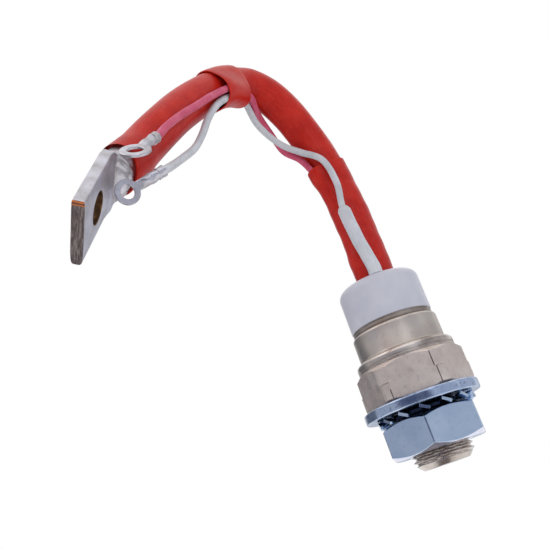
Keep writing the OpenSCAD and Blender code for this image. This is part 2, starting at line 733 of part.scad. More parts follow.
// The cable lug from its barrel's mouth down: round barrel, shoulder, and flat palm with a bolt hole
module cathode_lug() {
    thin = 0.1;
    color(tin) aimed(lug_mouth, -lug_axis, lug_roll) difference() {
        union() {
            translate([0, 0, -barrel_l]) cylinder(h = barrel_l, d = barrel_d);
            hull() {
                translate([0, 0, -barrel_l]) cylinder(h = thin, d = barrel_d - 2 * thin, $fn = 48);
                at_palm() linear_extrude(thin) palm_section();
            }
            at_palm() translate([0, 0, -palm_l]) linear_extrude(palm_l) palm_section();
        }
        at_palm() translate([0, 0, lug_hole_l - palm_l]) rotate([90, 0, 0])
            cylinder(h = 4 * palm_t, d = lug_hole_d, center = true);
        translate([0, 0, -barrel_l]) cylinder(h = barrel_l + past, d = rope_bore);
    }
}

module gate_lead() {
    color(white) cord(gate_route, wire_d, [1, 0, 0]);
}

// The shrink tube over the gate tube and the first stretch of its wire
module gate_shrink() {
    route = concat([[gate_x, gate_y, z_top]], piece_of(gate_route, 1, 3));
    t = directions(route);
    r = shrink_d / 2;
    color(white) swept(route, t, carried(t, [1, 0, 0]), r, r - shrink_wall, count = 8);
}

module aux_lead() {
    color(pink) cord(aux_route, wire_d, [1, 0, 0]);
}

// A crimped ring terminal from a wire's end to the middle of its ring, flat across its own X
module ring_terminal(end, middle, roll, ring_d, ring_hole_d) {
    reach = norm(middle - end);
    grip_bore = wire_d + 2 * grip_clearance;
    color(tin) aimed(end, middle - end, roll) difference() {
        union() {
            cylinder(h = crimp_l, d = crimp_d);
            translate([0, 0, -grip_l]) cylinder(h = grip_l + 0.3, d = grip_bore + 2 * grip_wall);
            translate([-ring_t / 2, -tongue_w / 2, crimp_l - past]) cube([ring_t, tongue_w, reach - crimp_l]);
            translate([-ring_t / 2, 0, reach]) rotate([0, 90, 0]) cylinder(h = ring_t, d = ring_d);
        }
        translate([0, 0, -grip_l - past]) cylinder(h = grip_l + past + grip_clearance, d = grip_bore);
        translate([-crimp_d, 0, reach]) rotate([0, 90, 0]) cylinder(h = 2 * crimp_d, d = ring_hole_d);
    }
}

module gate_terminal() {
    ring_terminal(gate_route[len(gate_route) - 1], gate_ring, gate_ring_roll, gate_ring_d, gate_ring_hole_d);
}

module aux_terminal() {
    ring_terminal(aux_route[len(aux_route) - 1], aux_ring, aux_ring_roll, aux_ring_d, aux_ring_hole_d);
}

stud_base();
weld_ring();
case_sleeve();
seal_ring();
ceramic_cap();
cathode_tube();
gate_tube();
flat_washer();
lock_washer();
hex_nut();
clamp_cup();
centring_ring();
anode_plate();
silicon_wafer();
cathode_contact_disc();
cathode_post();
insulating_washer();
pressure_washer();
disc_springs();
retaining_ring();
gate_pin();
gate_insulator();
cathode_rope();
long_sleeve();
short_sleeve();
lead_collar();
cathode_lug();
gate_lead();
gate_shrink();
aux_lead();
gate_terminal();
aux_terminal();
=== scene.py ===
"""Looks of a stud-mounted thyristor in a ceramic case, with its cathode lead and two control wires.

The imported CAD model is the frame. Sizes below are in millimetres, and Blender's objects are in metres.
"""

from __future__ import annotations

import json
import logging
import math
from dataclasses import dataclass, field
from enum import Enum
from functools import partial
from typing import Callable, Iterable, Sequence

import bpy
from mathutils import Matrix, Vector
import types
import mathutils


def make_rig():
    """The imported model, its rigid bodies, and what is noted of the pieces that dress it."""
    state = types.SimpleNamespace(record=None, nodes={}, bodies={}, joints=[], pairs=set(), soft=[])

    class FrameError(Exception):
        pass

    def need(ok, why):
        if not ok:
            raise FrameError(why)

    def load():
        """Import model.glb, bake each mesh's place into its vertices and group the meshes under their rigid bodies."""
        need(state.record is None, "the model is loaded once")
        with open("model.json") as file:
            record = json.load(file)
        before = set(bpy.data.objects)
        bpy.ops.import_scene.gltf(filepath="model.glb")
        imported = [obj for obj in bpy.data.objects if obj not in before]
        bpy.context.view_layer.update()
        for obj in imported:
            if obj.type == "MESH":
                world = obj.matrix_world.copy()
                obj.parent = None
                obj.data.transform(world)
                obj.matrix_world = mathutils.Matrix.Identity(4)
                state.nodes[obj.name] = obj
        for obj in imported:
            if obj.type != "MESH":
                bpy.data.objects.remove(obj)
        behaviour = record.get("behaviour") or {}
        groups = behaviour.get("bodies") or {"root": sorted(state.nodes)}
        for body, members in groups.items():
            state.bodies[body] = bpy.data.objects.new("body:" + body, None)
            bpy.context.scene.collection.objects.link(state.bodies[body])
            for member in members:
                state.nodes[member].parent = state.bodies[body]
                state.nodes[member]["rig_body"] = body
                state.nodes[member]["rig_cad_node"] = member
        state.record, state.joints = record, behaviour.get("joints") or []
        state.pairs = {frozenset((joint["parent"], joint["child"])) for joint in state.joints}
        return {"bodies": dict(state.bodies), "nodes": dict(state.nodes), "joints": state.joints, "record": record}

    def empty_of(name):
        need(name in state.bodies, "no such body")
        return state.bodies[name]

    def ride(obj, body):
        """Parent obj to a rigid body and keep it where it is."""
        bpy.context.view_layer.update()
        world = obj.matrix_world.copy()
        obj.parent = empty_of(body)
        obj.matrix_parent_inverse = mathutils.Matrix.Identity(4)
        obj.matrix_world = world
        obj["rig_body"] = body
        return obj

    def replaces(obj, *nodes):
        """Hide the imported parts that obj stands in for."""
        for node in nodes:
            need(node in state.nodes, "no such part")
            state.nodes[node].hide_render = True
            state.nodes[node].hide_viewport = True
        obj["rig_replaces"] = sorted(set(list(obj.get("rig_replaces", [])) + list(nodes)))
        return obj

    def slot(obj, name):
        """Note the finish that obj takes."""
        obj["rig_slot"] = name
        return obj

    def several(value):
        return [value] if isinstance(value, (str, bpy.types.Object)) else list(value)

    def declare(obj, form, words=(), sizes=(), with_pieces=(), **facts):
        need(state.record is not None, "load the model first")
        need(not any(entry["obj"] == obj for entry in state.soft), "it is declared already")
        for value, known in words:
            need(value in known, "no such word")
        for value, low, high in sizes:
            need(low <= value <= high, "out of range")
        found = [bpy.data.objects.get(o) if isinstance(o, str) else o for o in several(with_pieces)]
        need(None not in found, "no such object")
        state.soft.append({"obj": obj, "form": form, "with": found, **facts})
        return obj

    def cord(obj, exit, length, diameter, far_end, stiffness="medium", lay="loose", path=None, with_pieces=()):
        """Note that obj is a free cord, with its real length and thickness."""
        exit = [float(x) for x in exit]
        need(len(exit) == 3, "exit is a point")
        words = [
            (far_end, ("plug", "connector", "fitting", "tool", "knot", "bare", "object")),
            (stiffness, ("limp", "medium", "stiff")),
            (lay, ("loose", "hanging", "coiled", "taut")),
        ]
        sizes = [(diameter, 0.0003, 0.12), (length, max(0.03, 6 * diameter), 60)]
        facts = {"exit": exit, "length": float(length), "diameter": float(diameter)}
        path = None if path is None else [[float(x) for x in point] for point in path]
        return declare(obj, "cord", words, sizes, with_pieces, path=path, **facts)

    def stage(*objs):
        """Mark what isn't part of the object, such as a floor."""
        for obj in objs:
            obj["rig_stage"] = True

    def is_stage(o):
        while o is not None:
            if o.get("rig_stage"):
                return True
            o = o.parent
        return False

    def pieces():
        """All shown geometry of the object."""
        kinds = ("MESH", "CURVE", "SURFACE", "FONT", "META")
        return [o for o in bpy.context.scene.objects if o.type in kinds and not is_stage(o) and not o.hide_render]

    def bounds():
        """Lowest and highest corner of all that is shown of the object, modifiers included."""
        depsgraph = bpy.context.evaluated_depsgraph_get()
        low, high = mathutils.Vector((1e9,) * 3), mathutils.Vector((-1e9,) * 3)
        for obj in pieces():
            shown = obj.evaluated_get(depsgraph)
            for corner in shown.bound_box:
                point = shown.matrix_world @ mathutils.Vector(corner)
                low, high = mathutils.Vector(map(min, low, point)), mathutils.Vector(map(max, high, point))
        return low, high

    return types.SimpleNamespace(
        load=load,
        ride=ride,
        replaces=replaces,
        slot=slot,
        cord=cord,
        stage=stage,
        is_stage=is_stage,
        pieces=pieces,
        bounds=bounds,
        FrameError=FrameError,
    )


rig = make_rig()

LOG = logging.getLogger("thyristor")
MM = 0.001
BODY = "root"
CAP_TOP = 40.3
SHARP_ANGLE = math.radians(38)
WHITE = "#FFFFFF"

Point = tuple[float, float, float]
Colour = tuple[float, float, float, float]
Tones = tuple[str, str, str]
Piece = bpy.types.Object
Material = bpy.types.Material
Tree = bpy.types.NodeTree
Socket = bpy.types.NodeSocket
Add = Callable[..., Socket]
RadiusAt = Callable[[float, float], float]
Table = Sequence[tuple[float, float]]


# Finishes
class Making(Enum):
    """How a metal surface was made, which gives its fine lines."""

    TURNED = "turned on a lathe, fine rings"
    ROLLED = "rolled or drawn sheet, fine dull grain"
    TUMBLED = "tumbled and plated, small random nicks"


def linear(code: str) -> Colour:
    """Turn an sRGB hex colour into linear light.

    Args:
        code: colour such as "#C62A22".

    Returns:
        Linear red, green, blue and an alpha of 1.
    """
    parts = [int(code[i : i + 2], 16) / 255 for i in (1, 3, 5)]
    r, g, b = [p / 12.92 if p <= 0.04045 else ((p + 0.055) / 1.055) ** 2.4 for p in parts]
    return (r, g, b, 1.0)


def per_mm(size: float) -> float:
    """A pattern's scale, for features this many millimetres wide."""
    return 1 / (size * MM)


def add_node(tree: Tree, kind: str, values: dict | Sequence = (), out: str | int = 0,
             stops: Iterable[tuple[float, str]] = (), **settings: object) -> Socket | None:
    """Add a node with its settings, values and links.

    Args:
        tree: node tree that gets the node.
        kind: Blender's name of the node's type, without its "ShaderNode".
        values: a value, or an output to link, for each input by its name or number, or for the first inputs
            in order.
        out: name or number of the output that is wanted.
        stops: a colour ramp's places and their sRGB hex colours.
        settings: attributes of the node.

    Returns:
        That output, or None where the node has no output.
    """
    node = tree.nodes.new(f"ShaderNode{kind}")
    for name, value in settings.items():
        setattr(node, name, value)
    for key, value in values.items() if isinstance(values, dict) else enumerate(values):
        if isinstance(value, Socket):
            tree.links.new(value, node.inputs[key])
        else:
            node.inputs[key].default_value = value
    for i, (place, code) in enumerate(stops):
        elements = node.color_ramp.elements
        element = elements[i] if i < len(elements) else elements.new(place)
        element.position, element.color = place, linear(code)
    return node.outputs[out] if node.outputs else None


def make_material(name: str, surface: Callable[[Add], Socket]) -> Material:
    """Make a material.

    Args:
        name: the material's name.
        surface: adds the nodes with the function that it gets, and returns the shader's output.

    Returns:
        The material.
    """
    material = bpy.data.materials.new(name)
    material.use_nodes = True
    material.node_tree.nodes.clear()
    add = partial(add_node, material.node_tree)
    add("OutputMaterial", {"Surface": surface(add)})
    return material


def turned_place(add: Add, place: Socket) -> Socket:
    """Coordinates that change across the rings a lathe leaves round Z, and hardly along them.

    Args:
        add: adds a node.
        place: coordinates in metres.

    Returns:
        A vector of radius, a slow share of X, and height.
    """
    x, y, z = (add("SeparateXYZ", [place], axis) for axis in "XYZ")
    radius = add("VectorMath", [add("CombineXYZ", [x, y])], "Value", operation="LENGTH")
    return add("CombineXYZ", [radius, add("Math", [x, 0.03], operation="MULTIPLY"), z])


@dataclass(frozen=True)
class Finish:
    """A finish, which makes one material from its own surface."""

    name: str

    def surface(self, add: Add) -> Socket:
        """Add the nodes of the surface. Each finish has its own."""
        raise NotImplementedError

    def build(self) -> Material:
        """Make the material."""
        return make_material(self.name, self.surface)


@dataclass(frozen=True)
class Metal(Finish):
    """A plated or bare metal.

    Its base colour moves between its tones in soft clouds, its grain comes from how it was made, and its inner
    corners darken towards the stain colour as painted shade. Real turning rings and sheet grain are about 0.05 mm
    wide, too fine for the picture, so the grain is drawn some 5 times as coarse. Dents from handling are 1 to 2.5 mm
    wide.
    """

    tones: Tones
    roughness: tuple[float, float]
    making: Making = Making.ROLLED
    cloud_size: float = 5.0
    grain_size: float = 0.25
    grain_depth: float = 0.006
    dent_depth: float = 0.004
    grime: float = 0.75
    stain: str = "#5A524E"
    stain_share: float = 0.25

    def surface(self, add: Add) -> Socket:
        """Add the metal's nodes.

        Args:
            add: adds a node.

        Returns:
            The shader's output.
        """
        place = add("TexCoord", out="Object")
        clouds = add("TexNoise", {"Vector": place, "Scale": per_mm(self.cloud_size), "Detail": 4.0})
        specks = add("TexNoise", {"Vector": place, "Scale": per_mm(self.cloud_size * 0.16), "Detail": 6.0})
        stained = add("MapRange", [specks, 0.56, 0.72, 0.0, self.stain_share])
        # Painted shade: inner corners, where the surface is concave, darken towards the stain colour
        painted_crease_shade = add("MapRange", [add("NewGeometry", out="Pointiness"), 0.42, 0.485, self.grime, 0.0])
        tone = add("ValToRGB", [clouds], stops=zip((0.34, 0.5, 0.66), self.tones))
        for share in (stained, painted_crease_shade):
            tone = add("Mix", {0: share, 6: tone, 7: linear(self.stain)}, 2, data_type="RGBA")
        grain_place = turned_place(add, place) if self.making is Making.TURNED else place
        grain = add("TexNoise", {"Vector": grain_place, "Scale": per_mm(self.grain_size), "Detail": 2.0})
        dent_size = 0.9 if self.making is Making.TUMBLED else 2.4
        dents = add("TexNoise", {"Vector": place, "Scale": per_mm(dent_size), "Detail": 2.0})
        smears = add("TexNoise", {"Vector": place, "Scale": per_mm(self.cloud_size * 0.4), "Detail": 5.0})
        rough = add("Math", [add("MapRange", [smears, 0.3, 0.7, *self.roughness]),
                             add("MapRange", [grain, 0.3, 0.7, -0.03, 0.03])], operation="ADD")
        normal = add("Bump", {"Height": grain, "Distance": self.grain_depth * MM, "Strength": 1.0})
        normal = add("Bump", {
            "Height": dents, "Distance": self.dent_depth * MM, "Strength": 1.0, "Normal": normal})
        return add("BsdfPrincipled", {
            "Base Color": tone, "Metallic": 1.0, "Roughness": rough, "Normal": normal})


@dataclass(frozen=True)
class Glaze(Finish):
    """Glazed alumina: a dense white body under a thin clear glaze, slightly wavy, with a few pinholes.

    The glaze's waves are 5 mm long and its orange peel 0.5 mm.
    """

    tones: Tones
    pinhole: str

    def surface(self, add: Add) -> Socket:
        """Add the glaze's nodes.

        Args:
            add: adds a node.

        Returns:
            The shader's output.
        """
        place = add("TexCoord", out="Object")
        clouds, spots, smears, waves, peel = (
            add("TexNoise", {"Vector": place, "Scale": per_mm(size), "Detail": detail})
            for size, detail in ((7.0, 5.0), (0.55, 3.0), (3.0, 4.0), (5.0, 2.0), (0.5, 2.0)))
        tone = add("ValToRGB", [clouds], stops=zip((0.35, 0.5, 0.65), self.tones))
        pinholes = add("MapRange", [spots, 0.7, 0.76, 0.0, 0.5])
        tone = add("Mix", {0: pinholes, 6: tone, 7: linear(self.pinhole)}, 2, data_type="RGBA")
        normal = add("Bump", {"Height": waves, "Distance": 0.012 * MM, "Strength": 1.0})
        normal = add("Bump", {"Height": peel, "Distance": 0.004 * MM, "Strength": 1.0, "Normal": normal})
        return add("BsdfPrincipled", {
            "Base Color": tone, "Roughness": add("MapRange", [smears, 0.3, 0.7, 0.34, 0.42]), "IOR": 1.55,
            "Normal": normal, "Coat Weight": 0.25, "Coat Roughness": 0.12, "Coat IOR": 1.5})


@dataclass(frozen=True)
class Extruded(Finish):
    """An extruded rubber or plastic: fine lines along its length, dust and finger marks, a soft sheen.

    Its U runs round the tube and its V along it, both in metres. The die's lines are finer than 0.1 mm in
    truth, and are drawn coarse enough to show.
    """

    tones: Tones
    roughness: tuple[float, float]
    dust: str
    dust_share: float = 0.12
    streak_size: float = 0.35
    streak_depth: float = 0.01
    glow: float = 0.0

    def surface(self, add: Add) -> Socket:
        """Add the nodes of the rubber or plastic.

        Args:
            add: adds a node.

        Returns:
            The shader's output.
        """
        place = add("TexCoord", out="Object")
        along = add("VectorMath", [add("TexCoord", out="UV"), (1.0, 0.06, 1.0)], operation="MULTIPLY")
        streak = add("TexNoise", {"Vector": along, "Scale": per_mm(self.streak_size), "Detail": 3.0})
        clouds, marks, smears, dents = (
            add("TexNoise", {"Vector": place, "Scale": per_mm(size), "Detail": detail})
            for size, detail in ((6.0, 4.0), (1.1, 6.0), (2.2, 5.0), (3.2, 2.0)))
        both = add("Math", [add("Math", [streak, 0.4], operation="MULTIPLY"),
                            add("Math", [clouds, 0.6], operation="MULTIPLY")], operation="ADD")
        tone = add("ValToRGB", [both], stops=zip((0.38, 0.5, 0.62), self.tones))
        dusty = add("MapRange", [marks, 0.52, 0.7, 0.0, self.dust_share])
        tone = add("Mix", {0: dusty, 6: tone, 7: linear(self.dust)}, 2, data_type="RGBA")
        normal = add("Bump", {"Height": streak, "Distance": self.streak_depth * MM, "Strength": 1.0})
        normal = add("Bump", {"Height": dents, "Distance": 0.03 * MM, "Strength": 1.0, "Normal": normal})
        rough = add("MapRange", [smears, 0.3, 0.7, *self.roughness])
        return add("BsdfPrincipled", {
            "Base Color": tone, "Roughness": rough, "Normal": normal, "IOR": 1.41, "Specular IOR Level": 0.26,
            "Subsurface Weight": self.glow, "Subsurface Radius": (0.0012, 0.0004, 0.0003)})


@dataclass(frozen=True)
class Sheared(Finish):
    """The end of a copper lug where a press cut it: dragged metal, and bare copper along its top edge.

    The lines run along `drag`. The strip starts where the distance along it passes `strip_from`, in metres.
    """

    body: Tones
    copper: str
    drag: Point
    strip_from: float
    line_pitch: float = 0.75

    def surface(self, add: Add) -> Socket:
        """Add the nodes of the cut.

        Args:
            add: adds a node.

        Returns:
            The shader's output.
        """
        place = add("TexCoord", out="Object")
        reach = add("VectorMath", [place, self.drag], "Value", operation="DOT_PRODUCT")
        pull = add("VectorMath", {0: self.drag, "Scale": add("Math", [reach, -0.85], operation="MULTIPLY")},
                   operation="SCALE")
        dragged = add("VectorMath", [place, pull], operation="ADD")
        lines = add("TexNoise", {"Vector": dragged, "Scale": per_mm(0.38), "Detail": 6.0})
        rag = add("TexNoise", {"Vector": place, "Scale": per_mm(0.9), "Detail": 4.0})
        ragged = add("Math", [reach, add("MapRange", [rag, 0.3, 0.7, -0.1 * MM, 0.1 * MM])], operation="ADD")
        strip = add("MapRange", [ragged, self.strip_from, self.strip_from + 0.1 * MM, 0.0, 1.0])
        depth = add("Math", [ragged, self.strip_from], operation="SUBTRACT")
        turns = add("Math", [depth, math.tau / (self.line_pitch * MM)], operation="MULTIPLY")
        dull = add("MapRange", [add("Math", [turns], operation="SINE"), -0.3, 0.3, 0.85, 0.0])
        bare = add("Mix", {0: dull, 6: linear(self.copper), 7: linear(self.body[0])}, 2, data_type="RGBA")
        tone = add("ValToRGB", [lines], stops=zip((0.36, 0.5, 0.66), self.body))
        tone = add("Mix", {0: strip, 6: tone, 7: bare}, 2, data_type="RGBA")
        normal = add("Bump", {"Height": lines, "Distance": 0.12 * MM, "Strength": 1.0})
        return add("BsdfPrincipled", {"Base Color": tone, "Metallic": 0.6, "Normal": normal,
                                      "Roughness": add("MapRange", [lines, 0.3, 0.7, 0.45, 0.75])})


class Finishes:
    """Every material of the part, each built once."""

    def __init__(self) -> None:
        """Build the materials."""
        # Copper body turned, then satin nickel plated: warm grey, soft wide highlights, fine turning rings
        self.nickel = Metal(
            "satin_nickel_on_copper", ("#CDBFB7", "#D6C9C1", "#DFD3CB"), (0.46, 0.58), Making.TURNED,
            cloud_size=6, grain_size=0.3, grain_depth=0.003, stain="#8A7C76", stain_share=0.3).build()
        # Rolled thread under the same plating: smoother, so it shows darker and brighter bands
        self.thread = Metal(
            "nickel_on_rolled_thread", ("#A89C94", "#BBB0A9", "#D0C7C1"), (0.18, 0.26), cloud_size=6,
            grain_size=0.3, grain_depth=0.0004, dent_depth=0.0006, stain="#6E625C", stain_share=0.1,
            grime=0.35).build()
        # The weld ring is darker in patches, from the heat of projection welding
        self.weld = Metal(
            "nickel_weld_ring", ("#8C807A", "#C4B8B0", "#DED5CD"), (0.26, 0.36), Making.TURNED,
            cloud_size=9, grain_size=0.4, grain_depth=0.002, stain="#6A5E59", stain_share=0.3).build()
        # Drawn nickel-iron sleeve, satin nickel plated: paler and smoother than the turned base
        self.sleeve = Metal(
            "drawn_nickel_sleeve", ("#BDB2A9", "#C6BBB2", "#D0C6BE"), (0.34, 0.42), Making.TURNED,
            cloud_size=10, grain_depth=0.002, stain="#94877F", stain_share=0.2).build()
        # Bright zinc plate with a clear blue passivation: cool blue-grey, small nicks from tumbling
        self.zinc = Metal(
            "blue_bright_zinc", ("#BACBE1", "#C2D2E6", "#CBD8EA"), (0.17, 0.24), Making.TUMBLED,
            cloud_size=9, grain_size=0.3, grain_depth=0.0008, stain="#8C9BB2", stain_share=0.2).build()
        # The thicker passivation of the big washer turns violet blue in blotches; its dark blotches are partly painted
        # reflection, standing in for the dark reflection in the washer's side
        self.blued = Metal(
            "violet_blue_zinc", ("#9AABC6", "#B0BED8", "#C3D0E4"), (0.19, 0.25), Making.TUMBLED,
            cloud_size=8, grain_size=0.3, grain_depth=0.0005, stain="#3C4878", stain_share=0.5).build()
        # Painted highlight on the nut's lower chamfer: paler zinc, with a trace of lavender
        self.rubbed = Metal(
            "rubbed_bright_zinc", ("#CFCFE6", "#DEDEF0", "#ECECF8"), (0.14, 0.2), Making.TURNED,
            cloud_size=6, grain_size=0.3, grain_depth=0.0006, stain="#A3A4C4", stain_share=0.3).build()
        # Painted shade for the base: thin dark lines in the seams and under the steps of the corners
        self.mark = Metal(
            "dirty_tool_mark", ("#4A423E", "#5A514C", "#6A605A"), (0.5, 0.6), Making.TURNED,
            cloud_size=3).build()
        # Painted shade for metal down in the gaps: nearly black zinc, with a cool glint
        self.oiled = Metal(
            "oiled_zinc_in_the_gap", ("#1E2634", "#2A3446", "#3A4660"), (0.3, 0.5), Making.TUMBLED,
            cloud_size=3, stain="#141A24", stain_share=0.4).build()
        # Silver-copper braze over the nickel-iron ring: a smooth, darker, warm grey band
        self.braze = Metal(
            "brazed_nickel_iron", ("#857A72", "#9A8F87", "#B0A59D"), (0.35, 0.45), Making.TURNED,
            cloud_size=9, grain_depth=0.0006, dent_depth=0.0, stain="#5E534D", stain_share=0.2).build()
        # Hot-dip tinned copper: dull silver with soft blotches
        self.tin = Metal(
            "tinned_copper", ("#B5B1B4", "#C4C1C8", "#D3D1DA"), (0.3, 0.42), Making.ROLLED, cloud_size=5,
            grain_size=0.4, grain_depth=0.005, dent_depth=0.03, stain="#978B84", stain_share=0.35).build()
        # Rolled spring steel, bare: an even mid grey with a faint oily sheen
        self.steel = Metal("sheet_steel", ("#8A8C90", "#9A9CA0", "#AAACB0"), (0.3, 0.45)).build()
        # Plated silver contact face: pale, warm and fairly bright
        self.silver = Metal("silver_plate", ("#BDBDB8", "#C9C9C4", "#D6D6D2"), (0.2, 0.3)).build()
        # Lapped molybdenum plate: dense grey, satin, with fine rings
        self.moly = Metal(
            "lapped_molybdenum", ("#7E8188", "#8C8F96", "#9A9DA4"), (0.3, 0.4), Making.TURNED).build()
        # Polished silicon: dark blue grey and mirror smooth
        self.wafer = Metal("polished_silicon", ("#444754", "#4C4F5C", "#585B68"), (0.06, 0.12)).build()
        # Bright copper strand, browned in places
        self.copper = Metal(
            "bare_copper", ("#9A5B34", "#B9733F", "#D08A55"), (0.25, 0.42), cloud_size=3, stain="#5B3A26",
            stain_share=0.4).build()
        # Drilled copper in the lug's hole: dark brown, rough from the drill
        self.bore = Metal(
            "drilled_copper", ("#4E3828", "#6A5038", "#8A6A48"), (0.3, 0.5), cloud_size=2).build()
        # Fired and glazed alumina: cool white, a broad soft highlight under a thin glossy coat
        self.ceramic = Glaze("glazed_alumina", ("#C1C1CD", "#C5C5D0", "#C9C9D3"), "#9C9BA4").build()
        # Silicone rubber sleeving: saturated red, satin, faint lines from the die, a little dust
        self.silicone = Extruded(
            "red_silicone_rubber", ("#B3170A", "#C01E11", "#CB2A1B"), (0.3, 0.4), dust="#C8655A",
            dust_share=0.1).build()
        # Silicone wire insulation: soft and slightly translucent, handled to a greyish white
        self.white = Extruded(
            "white_silicone_wire", ("#BDBFC4", "#C9CBD0", "#D5D6DA"), (0.35, 0.5), dust="#A7A6A4",
            glow=0.05).build()
        # Heat-shrunk polyolefin: a little whiter and duller than the wire in it
        self.shrink = Extruded(
            "white_shrink_tube", ("#C3C5CB", "#CDCFD5", "#D8D9DE"), (0.4, 0.55), dust="#B5B3B0",
            glow=0.05).build()
        # The same wire insulation in a faded pinkish red, with paler finger marks
        self.pink = Extruded(
            "pink_silicone_wire", ("#C44C6A", "#D05875", "#DA6C86"), (0.35, 0.5), dust="#DE9AAC",
            glow=0.05).build()
        # Moulded fluoropolymer: waxy, warm white
        self.ptfe = Extruded(
            "moulded_ptfe", ("#DEDDD5", "#E9E8E0", "#F0EFE8"), (0.4, 0.5), dust="#D0CFC6").build()
        # Shearing drags the metal across the cut; its first millimetre shows two bright copper lines
        self.sheared = Sheared(
            "sheared_copper_end", ("#4A3F40", "#6C5F5E", "#978B87"), "#C87440", (0.54, -0.726, 0.426),
            0.0641).build()


# Mesh tools
def place_piece(name: str, verts: Iterable[Sequence[float]], faces: Iterable[Sequence[int]],
                materials: Sequence[Material], slot: str, uvs: Sequence[tuple[float, float]] | None = None,
                indices: Sequence[int] | None = None) -> Piece:
    """Make a piece from corners in millimetres and let it ride on the part.

    Args:
        name: the piece's name.
        verts: corners in millimetres.
        faces: corner numbers of each face.
        materials: materials, the first one for most faces.
        slot: material slot of the record.
        uvs: a UV in metres for each corner.
        indices: material number of each face.

    Returns:
        The new object.
    """
    mesh = bpy.data.meshes.new(name)
    mesh.from_pydata([[c * MM for c in v] for v in verts], [], list(faces))
    for material in materials:
        mesh.materials.append(material)
    if indices is not None:
        for polygon, index in zip(mesh.polygons, indices):
            polygon.material_index = index
    if uvs is not None:
        layer = mesh.uv_layers.new(name="UVMap")
        for loop in mesh.loops:
            layer.data[loop.index].uv = uvs[loop.vertex_index]
    mesh.validate()
    mesh.shade_smooth()
    mesh.set_sharp_from_angle(angle=SHARP_ANGLE)
    piece = bpy.data.objects.new(name, mesh)
    bpy.context.scene.collection.objects.link(piece)
    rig.ride(piece, BODY)
    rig.slot(piece, slot)
    LOG.info("%s: %d faces", name, len(mesh.polygons))
    return piece


def stitch(rows: int, count: int, around: bool, closed: bool) -> list[tuple[int, int, int, int]]:
    """Faces of a grid of points.

    Args:
        rows: number of rows.
        count: points in each row.
        around: whether each row closes on itself.
        closed: whether the last row meets the first.

    Returns:
        Four corner numbers for each face.
    """
    faces = []
    for i in range(rows if closed else rows - 1):
        k = (i + 1) % rows
        for j in range(count if around else count - 1):
            m = (j + 1) % count
            faces.append((i * count + j, i * count + m, k * count + m, k * count + j))
    return faces


def end_caps(rows: int, count: int) -> list[tuple[int, ...]]:
    """The two faces that close the first and the last row of a grid of points."""
    return [tuple(range(count - 1, -1, -1)), tuple((rows - 1) * count + j for j in range(count))]


def circle(count: int) -> list[tuple[float, float, float]]:
    """Angle, cosine and sine at each step round a circle."""
    return [(a, math.cos(a), math.sin(a)) for a in (math.tau * j / count for j in range(count))]


def arc(x: float, z: float, r: float, start: float, end: float, steps: int = 8) -> list[tuple[float, float]]:
    """Points of a round corner in a half section, from one angle to another in degrees."""
    turns = [math.radians(start + (end - start) * i / steps) for i in range(steps + 1)]
    return [(x + r * math.cos(a), z + r * math.sin(a)) for a in turns]


def soft_min(a: float, b: float, width: float) -> float:
    """The smaller of two lengths, blended over a width, which eases the edge where two faces meet."""
    h = min(1.0, max(0.0, 0.5 + 0.5 * (b - a) / width))
    return b * (1 - h) + a * h - width * h * (1 - h)


def between(table: Table, x: float) -> float:
    """Read a value from a table, in a straight line between its rows.

    Args:
        table: places and their values, in rising order.
        x: the place.

    Returns:
        The value there, or that of the nearest row past the table's ends.
    """
    if x <= table[0][0]:
        return table[0][1]
    for (x0, y0), (x1, y1) in zip(table, table[1:]):
        if x <= x1:
            return y0 + (y1 - y0) * (x - x0) / (x1 - x0)
    return table[-1][1]


def ease(x: float) -> float:
    """A smooth step from 0 to 1."""
    x = min(1.0, max(0.0, x))
    return x * x * (3 - 2 * x)


def revolve(name: str, rows: Sequence[tuple[float | RadiusAt, float | Callable[[float], float]]],
            materials: Sequence[Material], slot: str, count: int,
            marked: Callable[[float, float], bool] | None = None,
            centre: tuple[float, float] = (0.0, 0.0)) -> Piece:
    """Make a closed form of rows round Z.

    Args:
        name: the piece's name.
        rows: each row's radius, also as a function of the angle and the height, and its height, also as a
            function of the angle, in order round the section.
        materials: its finish, and that of its marked faces.
        slot: material slot of the record.
        count: steps round the axis.
        marked: whether a face at an angle and a height has the second finish.
        centre: where the axis stands.

    Returns:
        The new object.
    """
    verts = []
    for radius, level in rows:
        for a, c, s in circle(count):
            z = level(a) if callable(level) else level
            r = radius(a, z) if callable(radius) else radius
            verts.append((centre[0] + r * c, centre[1] + r * s, z))
    faces = stitch(len(rows), count, True, True)
    indices = None
    if marked:
        middles = [math.tau * (i % count + 0.5) / count for i in range(len(faces))]
        indices = [int(marked(a, (verts[f[0]][2] + verts[f[2]][2]) / 2)) for a, f in zip(middles, faces)]
    return place_piece(name, verts, faces, materials, slot, indices=indices)


def hexagon(apothem: float, turn: float = 0.0) -> Callable[[float], float]:
    """The outline of a hexagon whose corners are eased a little.

    Args:
        apothem: half its width across the flats.
        turn: angle of a corner, in degrees.

    Returns:
        Its radius at an angle.
    """
    sixth, corner_ease = math.pi / 3, 0.5

    def radius(angle: float) -> float:
        """Radius of the outline at this angle."""
        part = (angle - math.radians(turn)) % sixth - sixth / 2
        return soft_min(apothem / math.cos(part), apothem / math.cos(sixth - abs(part)), corner_ease)

    return radius


